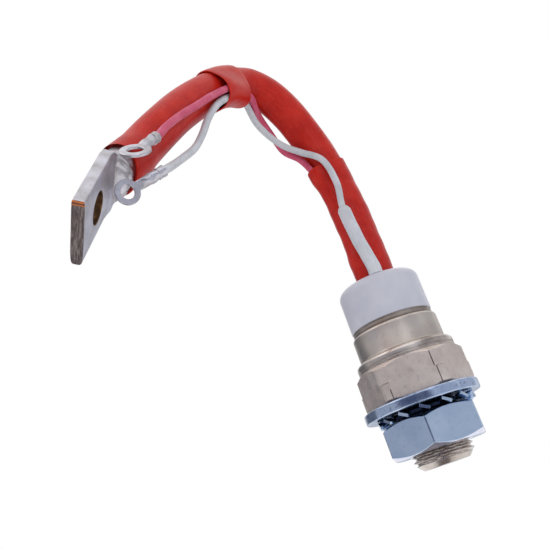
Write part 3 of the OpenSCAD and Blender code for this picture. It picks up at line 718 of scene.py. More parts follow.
def smooth_route(points: Sequence[Point], spans: int = 8) -> list[Vector]:
    """A smooth line through given points.

    Args:
        points: the points, in millimetres.
        spans: steps between two points.

    Returns:
        The points of the line.
    """
    p = [Vector(q) for q in points]
    p = [p[0] * 2 - p[1]] + p + [p[-1] * 2 - p[-2]]
    line = []
    for k in range(1, len(p) - 2):
        a, b, c, d = p[k - 1 : k + 3]
        ta = (b - a).length ** 0.5
        tb = ta + (c - b).length ** 0.5
        tc = tb + (d - c).length ** 0.5
        for i in range(spans):
            t = ta + (tb - ta) * i / spans
            ab = a.lerp(b, t / ta)
            bc = b.lerp(c, (t - ta) / (tb - ta))
            cd = c.lerp(d, (t - tb) / (tc - tb))
            line.append(ab.lerp(bc, t / tb).lerp(bc.lerp(cd, (t - ta) / (tc - ta)), (t - ta) / (tb - ta)))
    line.append(p[-2])
    return line


def frames_along(line: Sequence[Vector], side: Point) -> list[tuple[Vector, Vector, Vector, float]]:
    """Directions along a line, with a sideways direction carried without twist.

    Args:
        line: points of the line.
        side: sideways direction at its start.

    Returns:
        For each point: forward, sideways, across, and the length so far.
    """
    out = []
    n = Vector(side)
    run = 0.0
    for i, p in enumerate(line):
        t = (line[min(i + 1, len(line) - 1)] - line[max(i - 1, 0)]).normalized()
        n = (n - n.dot(t) * t).normalized()
        run += (p - line[i - 1]).length if i else 0.0
        out.append((t, n, t.cross(n), run))
    return out


@dataclass
class Tube:
    """A solid cord or an open tube along a route, with rounded lips at its ends."""

    name: str
    line: list[Vector]
    radius: RadiusAt
    wall: float
    side: Point = (1.0, 0.0, 0.0)
    count: int = 40
    end_cut: Point | None = None

    def plan(self) -> list[tuple[int, float, float]]:
        """The rings of points: along the outside, and back along the bore of an open tube.

        Returns:
            For each ring: number of its point of the line, extra radius, and how far it stands ahead.
        """
        last = len(self.line) - 1
        rings = [(i, 0.0, 0.0) for i in range(last + 1)]
        if self.wall > 0:
            lip = min(self.wall / 2, 0.4)
            rings += [(last, -0.3 * lip, 0.8 * lip), (last, -lip, lip), (last, lip - self.wall, 0.8 * lip)]
            rings += [(i, -self.wall, 0.0) for i in range(last, -1, -1)]
            rings += [(0, lip - self.wall, -0.8 * lip), (0, -lip, -lip), (0, -0.3 * lip, -0.8 * lip)]
        return rings

    def build(self, material: Material, slot: str) -> Piece:
        """Make the piece.

        Args:
            material: its finish.
            slot: material slot of the record.

        Returns:
            The new object.
        """
        frames = frames_along(self.line, self.side)
        total = frames[-1][3]
        plan = self.plan()
        verts, uvs = [], []
        for i, inward, ahead in plan:
            t, n, b, run = frames[i]
            cut = Vector(self.end_cut) if self.end_cut and i == len(self.line) - 1 else None
            for a, c, s in circle(self.count):
                r = self.radius(run / total, a) + inward
                out = r * (c * n + s * b)
                slide = -out.dot(cut) / t.dot(cut) if cut else 0.0
                verts.append(self.line[i] + out + t * (ahead + slide))
                uvs.append((a * r * MM, run * MM))
        faces = stitch(len(plan), self.count, True, self.wall > 0)
        if self.wall <= 0:
            faces += end_caps(len(plan), self.count)
        return place_piece(self.name, verts, faces, [material], slot, uvs)


def aimed(end: Point, towards: Point, roll: float) -> Matrix:
    """The frame of a fitting whose own Z runs from one point towards another.

    Args:
        end: its origin.
        towards: a point on its Z.
        roll: how far it is turned about its Z, in degrees.

    Returns:
        The frame.
    """
    a = (Vector(towards) - Vector(end)).normalized()
    turn = Matrix.Rotation(math.atan2(a.y, a.x), 4, "Z") @ Matrix.Rotation(math.acos(a.z), 4, "Y")
    return Matrix.Translation(Vector(end)) @ turn @ Matrix.Rotation(math.radians(roll), 4, "Z")


@dataclass(frozen=True)
class Section:
    """One cross-section of a lofted form: its place, half sizes, squareness, and the bulge on its middle.

    The bulge is a half ellipse over the middle, with a half width and a height on each side. The side
    towards -X may have a squareness of its own.
    """

    z: float
    half_x: float
    half_y: float
    power: float = 2.0
    bulge: tuple[float, float, float] = (1.0, 0.0, 0.0)
    low_power: float | None = None


def loft_ring(section: Section, count: int) -> list[Vector]:
    """Points of a cross-section between round and square.

    Args:
        section: the cross-section.
        count: points round it.

    Returns:
        The points, with X and Y across and Z along.
    """
    ring = []
    for _, c, s in circle(count):
        power = section.low_power if c < 0 and section.low_power else section.power
        reach = (abs(c) ** power + abs(s) ** power) ** (-1 / power)
        x, y = section.half_x * c * reach, section.half_y * s * reach
        wide, above, below = section.bulge
        dome = math.sqrt(max(0.0, 1 - (x / wide) ** 2))
        y = max(y, above * dome) if s > 0 else min(y, -below * dome)
        ring.append(Vector((x, y, section.z)))
    return ring


# Sub-assemblies
@dataclass
class Assembly:
    """A sub-assembly, which makes its pieces with the part's finishes."""

    looks: Finishes


@dataclass
class Base(Assembly):
    """The hexagon with its turned corners, the stud with its rolled thread, and the weld ring.

    The thread's depth is a share of its pitch, and the plain shank above it lies `plain_depth` below its
    crests. The seam shades are thin lines of painted shade along the seams, one beside each corner: the side it
    lies on, where it starts and ends, and whether painted shade also lies under the corner's step.
    """

    flats: float = 32.0
    height: float = 11.8
    step_height: float = 5.6
    low_radius: float = 17.75
    top_radius: float = 17.5
    top_chamfer: tuple[float, float] = (1.5, 1.3)
    foot_chamfer: tuple[float, float] = (1.5, 0.75)
    flat_chamfer: float = 0.25
    corner_ease: float = 0.1
    seam_depth: float = 0.14
    seam_width: float = 0.1
    neck_radius: float = 8.83
    stud_radius: float = 9.525
    stud_length: float = 21.3
    tip_chamfer: float = 2.3
    tip_radii: tuple[float, float] = (7.1, 4.0)
    tip_ease: float = 0.15
    pitch: float = 1.5875
    thread_depth: float = 0.6
    plain_depth: float = 0.7
    plain_end: float = -1.8
    thread_start: float = -1.9
    runout: float = 1.2
    row_step: float = 0.1
    oiled_above: float = -7.0
    ring_radius: float = 16.0
    ring_height: float = 3.3
    ring_bore: float = 11.9
    ring_round: float = 1.3
    groove_radius: float = 0.28
    axis_radius: float = 0.02
    mark_half: float = 0.06
    step_mark_drop: float = 0.04
    step_mark_half: float = 0.07
    marks: tuple[tuple[int, float, float, bool], ...] = (
        (1, 0.5, 5.0, False), (-1, 5.7, 10.0, True), (1, 0.4, 3.6, True),
        (-1, 2.0, 9.4, False), (1, 0.4, 3.2, True), (-1, 0.4, 10.4, False))

    def turned(self, z: float) -> float:
        """Radius that the corners are turned to.

        Args:
            z: height.

        Returns:
            The radius: a chamfer at each end, and a step with a fine groove under it.
        """
        step, low, top = self.step_height, self.low_radius, self.top_radius
        outline = [(0, low - self.foot_chamfer[0]), (self.foot_chamfer[1], low), (step - 0.12, low),
                   (step - 0.02, top - 0.1), (step + 0.04, top - 0.1), (step + 0.1, top),
                   (self.height - self.top_chamfer[1], top), (self.height, top - self.top_chamfer[0])]
        return between(outline, z)

    def build_hex(self) -> None:
        """Make the hexagonal base."""
        outline = hexagon(self.flats / 2)
        sixth = math.pi / 3

        def side(angle: float, z: float) -> float:
            """Radius of the base, with a fine seam where a flat meets a turned corner.

            Args:
                angle: angle round Z.
                z: height.

            Returns:
                The radius.
            """
            flat = outline(angle) - self.flat_chamfer * max(0.0, 1 - z / self.flat_chamfer)
            seam = self.seam_depth * math.exp(-(((flat - self.turned(z)) / self.seam_width) ** 2))
            return soft_min(flat, self.turned(z), self.corner_ease) - seam

        def marked(angle: float, z: float) -> bool:
            """Whether painted shade lies here: along a seam, or under the step of a corner.

            Args:
                angle: angle round Z.
                z: height.

            Returns:
                True where the shade is painted.
            """
            over = outline(angle) - self.turned(z)
            corner = round(angle / sixth) % 6
            side_sign, start, end, stepped = self.marks[corner]
            beside = side_sign * math.sin(angle - corner * sixth) > 0
            seam = abs(over) < self.mark_half and start < z < end and beside
            under_step = abs(z - self.step_height + self.step_mark_drop) < self.step_mark_half
            return seam or (stepped and over > 0 and under_step)

        # Rows lie closer together at the foot, at the step of the corners and at the top chamfer
        heights = [0.0, 0.08, 0.2, 0.4, 0.7, 1.5, 2.5, 3.5, 4.5, 5.2, 5.4, 5.48, 5.56, 5.62, 5.66, 5.8, 6.4,
                   7.5, 8.5, 9.5, 10.2, 10.4, 10.5, 10.6, 10.8, 11.1, 11.4, 11.65, 11.75, 11.8]
        rows = [(r, 0.0) for r in (self.neck_radius, 12.0, 15.0)] + [(side, z) for z in heights]
        rows += [(r, self.height) for r in (15.7, 12.0, self.neck_radius)]
        # The second finish paints shade into the seams beside the corners and under their steps
        piece = revolve("hex_base", rows, [self.looks.nickel, self.looks.mark], "copper_nickel", 720, marked)
        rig.replaces(piece, "stud_base")

    def build_stud(self) -> None:
        """Make the stud with its helical thread."""
        depth = self.thread_depth * self.pitch
        plain = self.stud_radius - self.plain_depth

        def threaded(angle: float, z: float) -> float:
            """Radius of the thread, which runs out below the base and at the tip's chamfer.

            Args:
                angle: angle round Z.
                z: height.

            Returns:
                The radius.
            """
            # From 0 in the root to 1 on the crest, with a flank that is softer at both ends
            crest = abs((z / self.pitch + angle / math.tau) % 1.0 - 0.5) * 2
            rise = ease((crest - 0.2) / 0.68) * 0.35 + min(1.0, max(0.0, (crest - 0.22) / 0.64)) * 0.65
            fade = ease((self.thread_start - z) / self.runout)
            r = (self.stud_radius - depth * (1 - rise)) * fade + plain * (1 - fade)
            return soft_min(r, self.stud_radius - self.tip_chamfer + z + self.stud_length, self.tip_ease)

        steps = round((self.stud_length + self.thread_start) / self.row_step)
        rows = [(self.axis_radius, 0.0), (plain, 0.0), (plain, self.plain_end)]
        rows += [(threaded, self.thread_start - self.row_step * i) for i in range(steps)]
        rows += [(r, -self.stud_length) for r in (*self.tip_radii, self.axis_radius)]
        # The stud's top, inside the washers and the nut, takes the painted gap shade
        revolve("stud_thread", rows, [self.looks.thread, self.looks.oiled], "copper_nickel", 200,
                lambda angle, z: z > self.oiled_above)

    def build_ring(self) -> None:
        """Make the weld ring: a groove near its foot and a rounded top edge."""
        z, r, top = self.height, self.ring_radius, self.height + self.ring_height
        profile = [(self.ring_bore, z), (r - 0.15, z), (r, z + 0.15), (r, z + 0.55)]
        profile += arc(r, z + 0.825, self.groove_radius, -90, -270, 8)
        profile += [(r, z + 1.1)]
        profile += arc(r - self.ring_round, top - self.ring_round, self.ring_round, 0, 90, 10)
        profile += [(13.9, top), (self.ring_bore, top)]
        piece = revolve("weld_ring_turned", profile, [self.looks.weld], "copper_nickel", 220)
        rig.replaces(piece, "weld_ring")

    def build(self) -> None:
        """Make all of the base."""
        self.build_hex()
        self.build_stud()
        self.build_ring()


@dataclass
class Case(Assembly):
    """The drawn sleeve, the brazed seal and the ceramic cap."""

    foot: float = 15.1
    sleeve_radius: float = 14.1
    sleeve_height: float = 8.9
    sleeve_round: float = 1.2
    sleeve_bore: float = 13.2
    bead_radius: float = 0.2
    seal_radius: float = 13.3
    seal_height: float = 1.6
    seal_bore: float = 11.7
    cap_radius: float = 13.55
    cap_height: float = 14.7
    cap_round: float = 3.2
    cap_foot_round: float = 0.4
    cap_bore: float = 11.4
    cap_hole: float = 4.95
    cap_web: float = 4.0

    def build_sleeve(self) -> None:
        """Make the drawn sleeve with its rolled shoulder and its weld bead."""
        r, z, top = self.sleeve_radius, self.foot, self.foot + self.sleeve_height
        bead, bend = self.bead_radius, self.sleeve_round
        profile = [(self.sleeve_bore, z), (r + 0.36, z)] + arc(r + bead, z + bead, bead, -40, 100, 5)
        profile += [(r, z + 0.75)] + arc(r - bend, top - bend, bend, 0, 90, 12)
        profile += [(12.6, top), (self.seal_bore, top), (self.seal_bore, top - 0.9)]
        profile += [(self.sleeve_bore, top - 1.3)]
        piece = revolve("drawn_sleeve", profile, [self.looks.sleeve], "copper_nickel", 220)
        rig.replaces(piece, "case_sleeve")

    def build_seal(self) -> None:
        """Make the seal ring with the hollow fillet of braze against the ceramic."""
        r, z = self.seal_radius, self.foot + self.sleeve_height
        top = z + self.seal_height
        profile = [(self.seal_bore, z), (r - 0.1, z), (r, z + 0.1), (r, z + 0.7), (r - 0.12, z + 0.95),
                   (r - 0.05, z + 1.25), (r, top), (self.seal_bore, top)]
        piece = revolve("brazed_seal", profile, [self.looks.braze], "braze", 200)
        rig.replaces(piece, "seal_ring")

    def build_cap(self) -> None:
        """Make the glazed cap, a little out of true as fired ceramic is."""
        r, z = self.cap_radius, self.foot + self.sleeve_height + self.seal_height
        top, low, high = z + self.cap_height, self.cap_foot_round, self.cap_round
        profile = [(self.cap_bore, z), (r - 0.5, z)] + arc(r - low, z + low, low, -90, 0, 5)
        profile += [(r, z + 3.5), (r, z + 7.5)] + arc(r - high, top - high, high, 0, 90, 20)
        profile += [(8.0, top), (self.cap_hole, top), (self.cap_hole, top - self.cap_web),
                    (self.cap_bore, top - self.cap_web)]

        def fired(r: float) -> RadiusAt:
            """The radius after firing, a little out of round."""
            return lambda a, z: r + (0.035 * math.sin(2 * a + 0.6) + 0.02 * math.sin(5 * a + z * 0.4) - 0.03)

        rows = [(fired(r), z) for r, z in profile]
        piece = revolve("glazed_cap", rows, [self.looks.ceramic], "ceramic", 240)
        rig.replaces(piece, "ceramic_cap")

    def build(self) -> None:
        """Make all of the case."""
        self.build_sleeve()
        self.build_seal()
        self.build_cap()


@dataclass
class Fasteners(Assembly):
    """The flat washer, the toothed lock washer and the nut on the stud."""

    washer_radius: float = 18.65
    washer_thickness: float = 3.2
    washer_shift: tuple[float, float] = (-0.46, -0.1)
    washer_rounds: tuple[float, float] = (0.4, 0.65)
    bore: float = 10.025
    bore_chamfer: float = 0.3
    lock_top: float = -3.2
    lock_height: float = 2.4847
    lock_radius: float = 15.7
    lock_ring: float = 2.7
    sheet: float = 0.9
    teeth: int = 14
    twist: float = -28.0
    tooth_half_width: float = 1.3
    tooth_spread: float = 0.5
    tooth_tip_ease: float = 0.18
    nut_flats: float = 28.575
    nut_face_inset: float = 0.35
    nut_top: float = -5.685
    nut_height: float = 10.7
    nut_turn: float = 26.0
    nut_bore: float = 9.625
    nut_sink: float = 0.8
    nut_edge: float = 0.16

    def build_washer(self) -> None:
        """Make the flat washer: a rolled-over upper edge and a crisper lower one from the blanking press."""
        r, t, b, chamfer = self.washer_radius, self.washer_thickness, self.bore, self.bore_chamfer
        low, high = self.washer_rounds
        profile = [(b + chamfer, -t), (r - 0.45, -t)] + arc(r - low, -t + low, low, -90, 0, 6)
        profile += arc(r - high, -high, high, 0, 90, 9)
        profile += [(b + chamfer, 0.0), (b, -chamfer), (b, -t + chamfer)]
        # Its dark blotches are partly stain and partly painted reflection
        finishes = [self.looks.blued]
        piece = revolve("flat_washer_zinc", profile, finishes, "zinc", 240, centre=self.washer_shift)
        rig.replaces(piece, "flat_washer")

    def build_lock(self) -> None:
        """Make the lock washer: a flat ring whose teeth twist out of its plane."""
        count, stations, root_overlap = 168, 9, 0.5
        middle, half = self.lock_top - self.lock_height / 2, self.sheet / 2
        ring_out = self.bore + self.lock_ring
        profile = [(self.bore, middle - half), (ring_out, middle - half), (ring_out, middle + half),
                   (self.bore, middle + half)]
        # A tooth's section, with its corners eased: shares of its half width and its half thickness
        section = ((-1, -0.7), (-0.92, -1), (0.92, -1), (1, -0.7), (1, 0.7), (0.92, 1), (-0.92, 1), (-1, 0.7))
        verts = [Vector((r * c, r * s, z)) for r, z in profile for _, c, s in circle(count)]
        faces = stitch(len(profile), count, True, True)
        # The flat ring, down between the washer and the nut, takes the painted gap shade; the teeth stay plain zinc
        indices = [1] * len(faces)
        for k in range(self.teeth):
            turn = Matrix.Rotation(math.tau * k / self.teeth - math.pi / 2, 4, "Z")
            first = len(verts)
            for i in range(stations):
                s = i / (stations - 1)
                x = ring_out - root_overlap + s * (self.lock_radius - ring_out + root_overlap)
                tip = self.tooth_tip_ease if s == 1 else 0.0
                width = self.tooth_half_width + self.tooth_spread * s - tip
                lean = Matrix.Rotation(math.radians(self.twist) * ease(s * 1.9), 4, "X")
                for u, v in section:
                    place = turn @ (lean @ Vector((0, u * width, v * half)) + Vector((x, 0, 0)))
                    verts.append(place + Vector((0, 0, middle)))
            tooth = stitch(stations, len(section), True, False) + end_caps(stations, len(section))
            faces += [tuple(first + n for n in face) for face in tooth]
        indices += [0] * (len(faces) - len(indices))
        finishes = [self.looks.zinc, self.looks.oiled]
        piece = place_piece("toothed_lock_washer", verts, faces, finishes, "zinc", indices=indices)
        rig.replaces(piece, "lock_washer")

    def build_nut(self) -> None:
        """Make the nut: 30 degree chamfers on both faces and a countersunk, threaded bore."""
        outline = hexagon(self.nut_flats / 2, self.nut_turn)
        face = self.nut_flats / 2 - self.nut_face_inset
        top, foot = self.nut_top, self.nut_top - self.nut_height
        slope = math.tan(math.radians(30))
        seat_ring = 12.0

        def side(angle: float, z: float) -> float:
            """Radius of the nut's side at an angle and a height."""
            return soft_min(outline(angle), face + min(top - z, z - foot) / slope, self.nut_edge)

        def bore(angle: float, z: float) -> float:
            """Radius of the threaded bore at an angle and a height."""
            return self.nut_bore + max(0.0, self.nut_sink - min(top - z, z - foot))

        def level(start: float, sign: float, share: float, more: float) -> Callable[[float], float]:
            """Height of a row that follows the chamfer's edge round the nut.

            Args:
                start: height of the face it is counted from.
                sign: 1 upwards, -1 downwards.
                share: share of the way to the chamfer's edge.
                more: distance beyond that.

            Returns:
                The height at an angle.
            """
            return lambda a: start + sign * ((outline(a) - face) * slope * share + more)

        def marked(angle: float, z: float) -> bool:
            """Whether this is the lower face's chamfer, which takes the painted highlight."""
            return 0.0 < z - foot < (outline(angle) - face) * slope - 0.04

        # From a face to past its chamfer's edge, with close rows at the edge
        plan = [(0.0, 0.0), (0.5, 0.0), (1.0, -0.12), (1.0, -0.06), (1.0, 0.0), (1.0, 0.06), (1.0, 0.12),
                (1.0, 0.5), (0.6, 2.0)]
        rows = [(bore, foot), (seat_ring, foot)] + [(side, level(foot, 1, *p)) for p in plan]
        rows += [(side, (foot + top) / 2)] + [(side, level(top, -1, *p)) for p in reversed(plan)]
        rows += [(seat_ring, top), (bore, top), (bore, top - self.nut_sink), (bore, foot + self.nut_sink)]
        # The lower chamfer takes the painted highlight
        piece = revolve("hex_nut_zinc", rows, [self.looks.zinc, self.looks.rubbed], "zinc", 720, marked)
        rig.replaces(piece, "hex_nut")

    def build(self) -> None:
        """Make all of the fasteners."""
        self.build_washer()
        self.build_lock()
        self.build_nut()


# Middle lines of the lead, the gate wire and the auxiliary wire, from the cap outwards, as in the CAD model
LEAD_ROUTE: list[Point] = [
    (0, 0, CAP_TOP), (0, 0, 48), (0.4, 1.2, 62), (-0.3, 1.2, 77), (-0.9, 0.5, 83.8), (-1.2, 0.2, 86),
    (-2.5, -1.4, 94), (-4.8, -4.4, 102), (-7.6, -8.6, 109.1), (-11.2, -14, 114.4), (-15.8, -19.9, 116.8),
    (-18.9, -23.8, 116.2), (-22.5, -29.6, 114.1), (-26.3, -36, 110.1), (-35, -49.5, 98.7),
    (-40.6, -57.1, 90.6), (-44.5, -61.8, 85), (-48.6, -68, 77.9), (-50.9, -72, 74.1), (-51.7, -73.3, 72.8)]
GATE_ROUTE: list[Point] = [
    (1.2, -9.4, 41), (1.2, -9.4, 43.2), (-0.1, -9.3, 53), (-1, -9.2, 65.8), (0.2, -9.1, 75.6),
    (-1.6, -9.3, 85.5), (-7.2, -8.2, 91.5), (-11.9, -8.9, 95.8), (-15.4, -11.7, 100.1),
    (-17.9, -16.9, 104.4), (-18.4, -22.3, 108.9), (-18.9, -28.5, 107.6), (-20.7, -35.7, 105.2),
    (-24.7, -42.8, 100), (-28.3, -46.9, 94), (-31, -50.4, 87.4), (-33.5, -54.7, 81.5), (-36.7, -61.8, 75.5),
    (-38.4, -68.9, 70.4), (-38.9, -72.7, 67.9), (-41, -74.1, 66.7)]
AUX_ROUTE: list[Point] = [
    (-3.2, -4.4, 48.1), (-2.8, -3.3, 62), (-3.6, -3.3, 77), (-6.1, -5.3, 84.2), (-8.8, -5.4, 90.6),
    (-13.2, -5.2, 96.3), (-14.9, -7.4, 102.6), (-16.3, -12.6, 107.6), (-16.3, -19, 108.8),
    (-15.9, -23.9, 109.3), (-17.2, -30.2, 108.8), (-19.7, -37.6, 106.9), (-24.5, -45.9, 101.4),
    (-29, -52.8, 95.7), (-33.7, -60.7, 89.2), (-37.4, -66.6, 83.6), (-39.2, -70.3, 79.6),
    (-40.3, -72.1, 78.1)]


def length_of(line: Sequence[Vector]) -> float:
    """Length of a line of points, in metres."""
    return sum((b - a).length for a, b in zip(line, line[1:])) * MM


def metres(line: Sequence[Vector]) -> list[list[float]]:
    """The line's points in metres."""
    return [[c * MM for c in p] for p in line]


@dataclass
class CathodeLead(Assembly):
    """The copper rope with its long sleeve, the short sleeve on the cap and the collar over the wires.

    The sides are where each sleeve's angle starts, and the cuts are the directions its mouth faces. The spans
    are the stretches of the route that each sleeve covers.
    """

    rope_radius: float = 4.2
    strand_depth: float = 0.35
    lay_turns: float = 40.0
    long_radius: float = 6.1
    long_wall: float = 1.0
    barrel_flare: float = 0.42
    short_radius: float = 6.4
    short_wall: float = 0.5
    mouth_flare: float = 0.3
    short_swell: Table = ((0, 0.9), (0.1, 1.35), (0.45, 1.1), (0.8, 1.35), (0.93, 2.3), (1, 2.6))
    flange_swell: float = 0.42
    flange_turn: float = math.radians(-84)
    collar_radius: float = 6.75
    collar_swell: float = 2.75
    collar_turn: tuple[float, float] = (-27.0, 37.0)
    wire_side: Point = (-0.58, -0.81, 0.0)
    collar_side: Point = (0.63, -0.37, -0.68)
    collar_cut: Point = (-0.598, -0.792, -0.315)
    sleeve_cut: Point = (-0.465, -0.868, -0.175)
    route: list[Vector] = field(default_factory=lambda: smooth_route(LEAD_ROUTE))
    long_span: tuple[int, int] = (32, 145)
    collar_span: tuple[int, int] = (93, 106)

    def build_rope(self) -> Piece:
        """Make the rope, seven strands laid round each other.

        Returns:
            The rope.
        """
        def strands(share: float, angle: float) -> float:
            """Radius of the rope's lobed outline."""
            lobe = abs(math.cos(3.5 * (angle + share * self.lay_turns)))
            return self.rope_radius - self.strand_depth + self.strand_depth * lobe

        piece = Tube("copper_rope", self.route, strands, 0.0, count=42).build(self.looks.copper, "copper")
        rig.replaces(piece, "cathode_rope")
        return piece

    def build_long(self) -> Piece:
        """Make the long sleeve, pushed over the lug's barrel and cut aslant.

        Returns:
            The sleeve.
        """
        line = self.route[slice(*self.long_span)]

        def radius(share: float, angle: float) -> float:
            """Outer radius along the sleeve.

            Args:
                share: share of its length.
                angle: angle round it.

            Returns:
                The radius, uneven where the sleeve is free and wider over the barrel.
            """
            flare = self.barrel_flare * ease((share - 0.9) / 0.06)
            soft = 0.07 * math.sin(share * 31 + 1.5 * math.sin(angle))
            soft += 0.05 * math.cos(2 * angle + share * 9)
            return self.long_radius + flare + soft * (1 - 0.6 * share)

        sleeve = Tube("long_red_sleeve", line, radius, self.long_wall, self.wire_side, 56, self.sleeve_cut)
        piece = sleeve.build(self.looks.silicone, "red_silicone")
        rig.replaces(piece, "long_sleeve")
        return piece

    def build_short(self) -> Piece:
        """Make the short sleeve, which swells over the wire inside it and curls at its mouth.

        Returns:
            The sleeve.
        """
        points = [(1.0, 0.25, CAP_TOP), (0.85, 0.15, 48), (0.8, 1.2, 62), (0.0, 1.2, 77), *LEAD_ROUTE[4:6]]
        line = smooth_route(points, 12)

        def radius(share: float, angle: float) -> float:
            """Outer radius along the sleeve.

            Args:
                share: share of its length.
                angle: angle round it, from the side of the wire.

            Returns:
                The radius, with creases, and wider over the wire, at the mouth and over the tube's flange.
            """
            over_wire = between(self.short_swell, share) * max(0.0, math.cos(angle)) ** 5
            mouth = self.mouth_flare * ease((share - 0.82) / 0.15)
            crease = 0.08 * math.sin(share * 17 + 2 * angle) + 0.05 * math.sin(share * 43 + angle)
            flange = self.flange_swell * (1 - ease((share - 0.18) / 0.1))
            flange *= max(0.0, math.cos(angle - self.flange_turn)) ** 2
            return self.short_radius + mouth + crease + flange + over_wire

        sleeve = Tube("short_red_sleeve", line, radius, self.short_wall, self.wire_side, 64)
        piece = sleeve.build(self.looks.silicone, "red_silicone")
        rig.replaces(piece, "short_sleeve")
        return piece

    def build_collar(self) -> Piece:
        """Make the collar round the lead and both wires.

        Returns:
            The collar.
        """
        line = self.route[slice(*self.collar_span)]

        def radius(share: float, angle: float) -> float:
            """Outer radius of the collar, swollen over the wires."""
            turn = math.radians(self.collar_turn[0] + self.collar_turn[1] * share)
            return self.collar_radius + self.collar_swell * max(0.0, math.cos(angle - turn)) ** 4

        collar = Tube("red_collar", line, radius, self.short_wall, self.collar_side, 72, self.collar_cut)
        piece = collar.build(self.looks.silicone, "red_silicone")
        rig.replaces(piece, "lead_collar")
        return piece


@dataclass
class Lug(Assembly):
    """The cable lug, flattened from tube: barrel, shoulder, and a bent palm with a bolt hole.

    Its own Z runs from the palm to the barrel's mouth. `above` and `below` are the heights of the fold that
    the pressed tube leaves on each side of the shoulder, at shares of the shoulder's length.
    """

    barrel_radius: float = 5.6
    barrel: float = 9.0
    bore_radius: float = 4.25
    shoulder: float = 11.0
    palm_width: float = 18.0
    palm_thickness: float = 3.1
    palm: float = 18.0
    palm_power: float = 14.0
    cut_power: float = 5.5
    bend: float = 14.5
    step: float = 1.7
    hole: float = 4.25
    hole_from_end: float = 12.0
    roll: float = -123.6
    flat_reach: float = 4.5
    fold_rings: int = 26
    above: Table = (
        (0, 5.6), (0.2, 5.5), (0.32, 5.2), (0.4, 4.6), (0.46, 3.7), (0.52, 2.6), (0.58, 1.6), (0.66, 0),
        (1, 0))
    below: Table = ((0, 5.6), (0.3, 4.0), (0.6, 2.3), (0.8, 1.2), (1, 0))

    def palm_frame(self) -> Matrix:
        """Frame at the top of the palm, inside the lug's own frame."""
        top = Matrix.Translation((0, self.step, -self.barrel - self.shoulder))
        return top @ Matrix.Rotation(math.radians(self.bend), 4, "X")

    def fold(self, share: float, count: int) -> list[Vector]:
        """One ring of the shoulder, between the round barrel and the flat palm.

        Args:
            share: share of the shoulder's length.
            count: points round the ring.

        Returns:
            The points, in the lug's own frame.
        """
        flat, thin, palm = self.palm_width / 2, self.palm_thickness / 2, self.palm_frame()
        half_x = self.barrel_radius + (flat - self.barrel_radius) * ease(share * 1.3)
        half_y = self.barrel_radius + (thin - self.barrel_radius) * ease(share * 2.0)
        power = 2 + (self.palm_power - 2) * ease(share * 1.6)
        bulge = (self.barrel_radius, between(self.above, share), between(self.below, share))
        upper = loft_ring(Section(-self.barrel, half_x, half_y, power, bulge), count)
        lower = loft_ring(Section(self.flat_reach, half_x, half_y, power, bulge), count)
        return [a.lerp(palm @ b, share) for a, b in zip(upper, lower)]

    def build(self) -> Piece:
        """Make the lug.

        Returns:
            The lug.
        """
        mouth, end = Vector(LEAD_ROUTE[-3]), Vector(LEAD_ROUTE[-1])
        frame = aimed(tuple(mouth), tuple(mouth * 2 - end), self.roll)
        palm = self.palm_frame()
        flat, thin, bore, count = self.palm_width / 2, self.palm_thickness / 2, self.bore_radius, 144
        rings = [loft_ring(Section(z, bore, bore), count) for z in (-self.barrel, 0.0)]
        for z in (0.0, -0.15, -1.5, -3.0, -4.5, -6.0, -7.5, -8.5):
            r = self.barrel_radius - (0.15 if z == 0 else 0.0)
            rings.append(loft_ring(Section(z, r, r), count))
        rings += [self.fold(i / self.fold_rings, count) for i in range(1, self.fold_rings + 1)]
        verts = [frame @ p for ring in rings for p in ring]
        # Down the palm, with its end eased where the shear pulled it over
        eased = ((2.0, 0.0), (-3.0, 0.0), (-9.0, 0.0), (-15.0, 0.0), (-17.2, 0.0), (-17.6, 0.05),
                 (-17.86, 0.2), (-18.0, 0.42))
        for z, shrink in eased:
            across = Section(z, flat - shrink, thin - shrink * 0.5, self.palm_power, low_power=self.cut_power)
            verts += [frame @ palm @ p for p in loft_ring(across, count)]
        rows = len(rings) + len(eased)
        faces = stitch(rows, count, True, False)
        indices = [0] * (len(faces) - 2 * count) + [1] * (2 * count) + [0, 1]
        faces += end_caps(rows, count)
        finishes = [self.looks.tin, self.looks.sheared, self.looks.bore]
        piece = place_piece("tinned_lug", verts, faces, finishes, "tin", indices=indices)
        self.drill(piece, frame @ palm)
        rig.replaces(piece, "cathode_lug")
        return piece

    def drill(self, piece: Piece, frame: Matrix) -> None:
        """Punch the bolt hole through the palm.

        Args:
            piece: the lug.
            frame: frame of the palm.
        """
        centre = frame @ Vector((0, 0, self.hole_from_end - self.palm))
        out = (frame.to_3x3() @ Vector((0, 1, 0))).normalized()
        across = out.orthogonal().normalized()
        other = out.cross(across)
        count = 72
        # Distance from the palm's middle and radius of each ring: straight inside, flared at both faces
        rings = ((-4, 4.6), (-1.6, 4.45), (-1.35, self.hole), (1.35, self.hole), (1.6, 4.45), (4, 4.6))
        verts = [centre + out * k + r * (c * across + s * other)
                 for k, r in rings for _, c, s in circle(count)]
        faces = stitch(len(rings), count, True, False) + end_caps(len(rings), count)
        mesh = bpy.data.meshes.new("punch")
        mesh.from_pydata([[c * MM for c in v] for v in verts], [], faces)
        for material in (self.looks.tin, self.looks.sheared, self.looks.bore):
            mesh.materials.append(material)
        for polygon in mesh.polygons:
            polygon.material_index = 2
        punch = bpy.data.objects.new("punch", mesh)
        bpy.context.scene.collection.objects.link(punch)
        cut = piece.modifiers.new("bolt_hole", "BOOLEAN")
        cut.operation = "DIFFERENCE"
        cut.solver = "EXACT"
        cut.object = punch
        bpy.context.view_layer.update()
        done = bpy.data.meshes.new_from_object(piece.evaluated_get(bpy.context.evaluated_depsgraph_get()))
        piece.modifiers.clear()
        piece.data = done
        done.shade_smooth()
        done.set_sharp_from_angle(angle=SHARP_ANGLE)
        bpy.data.objects.remove(punch, do_unlink=True)


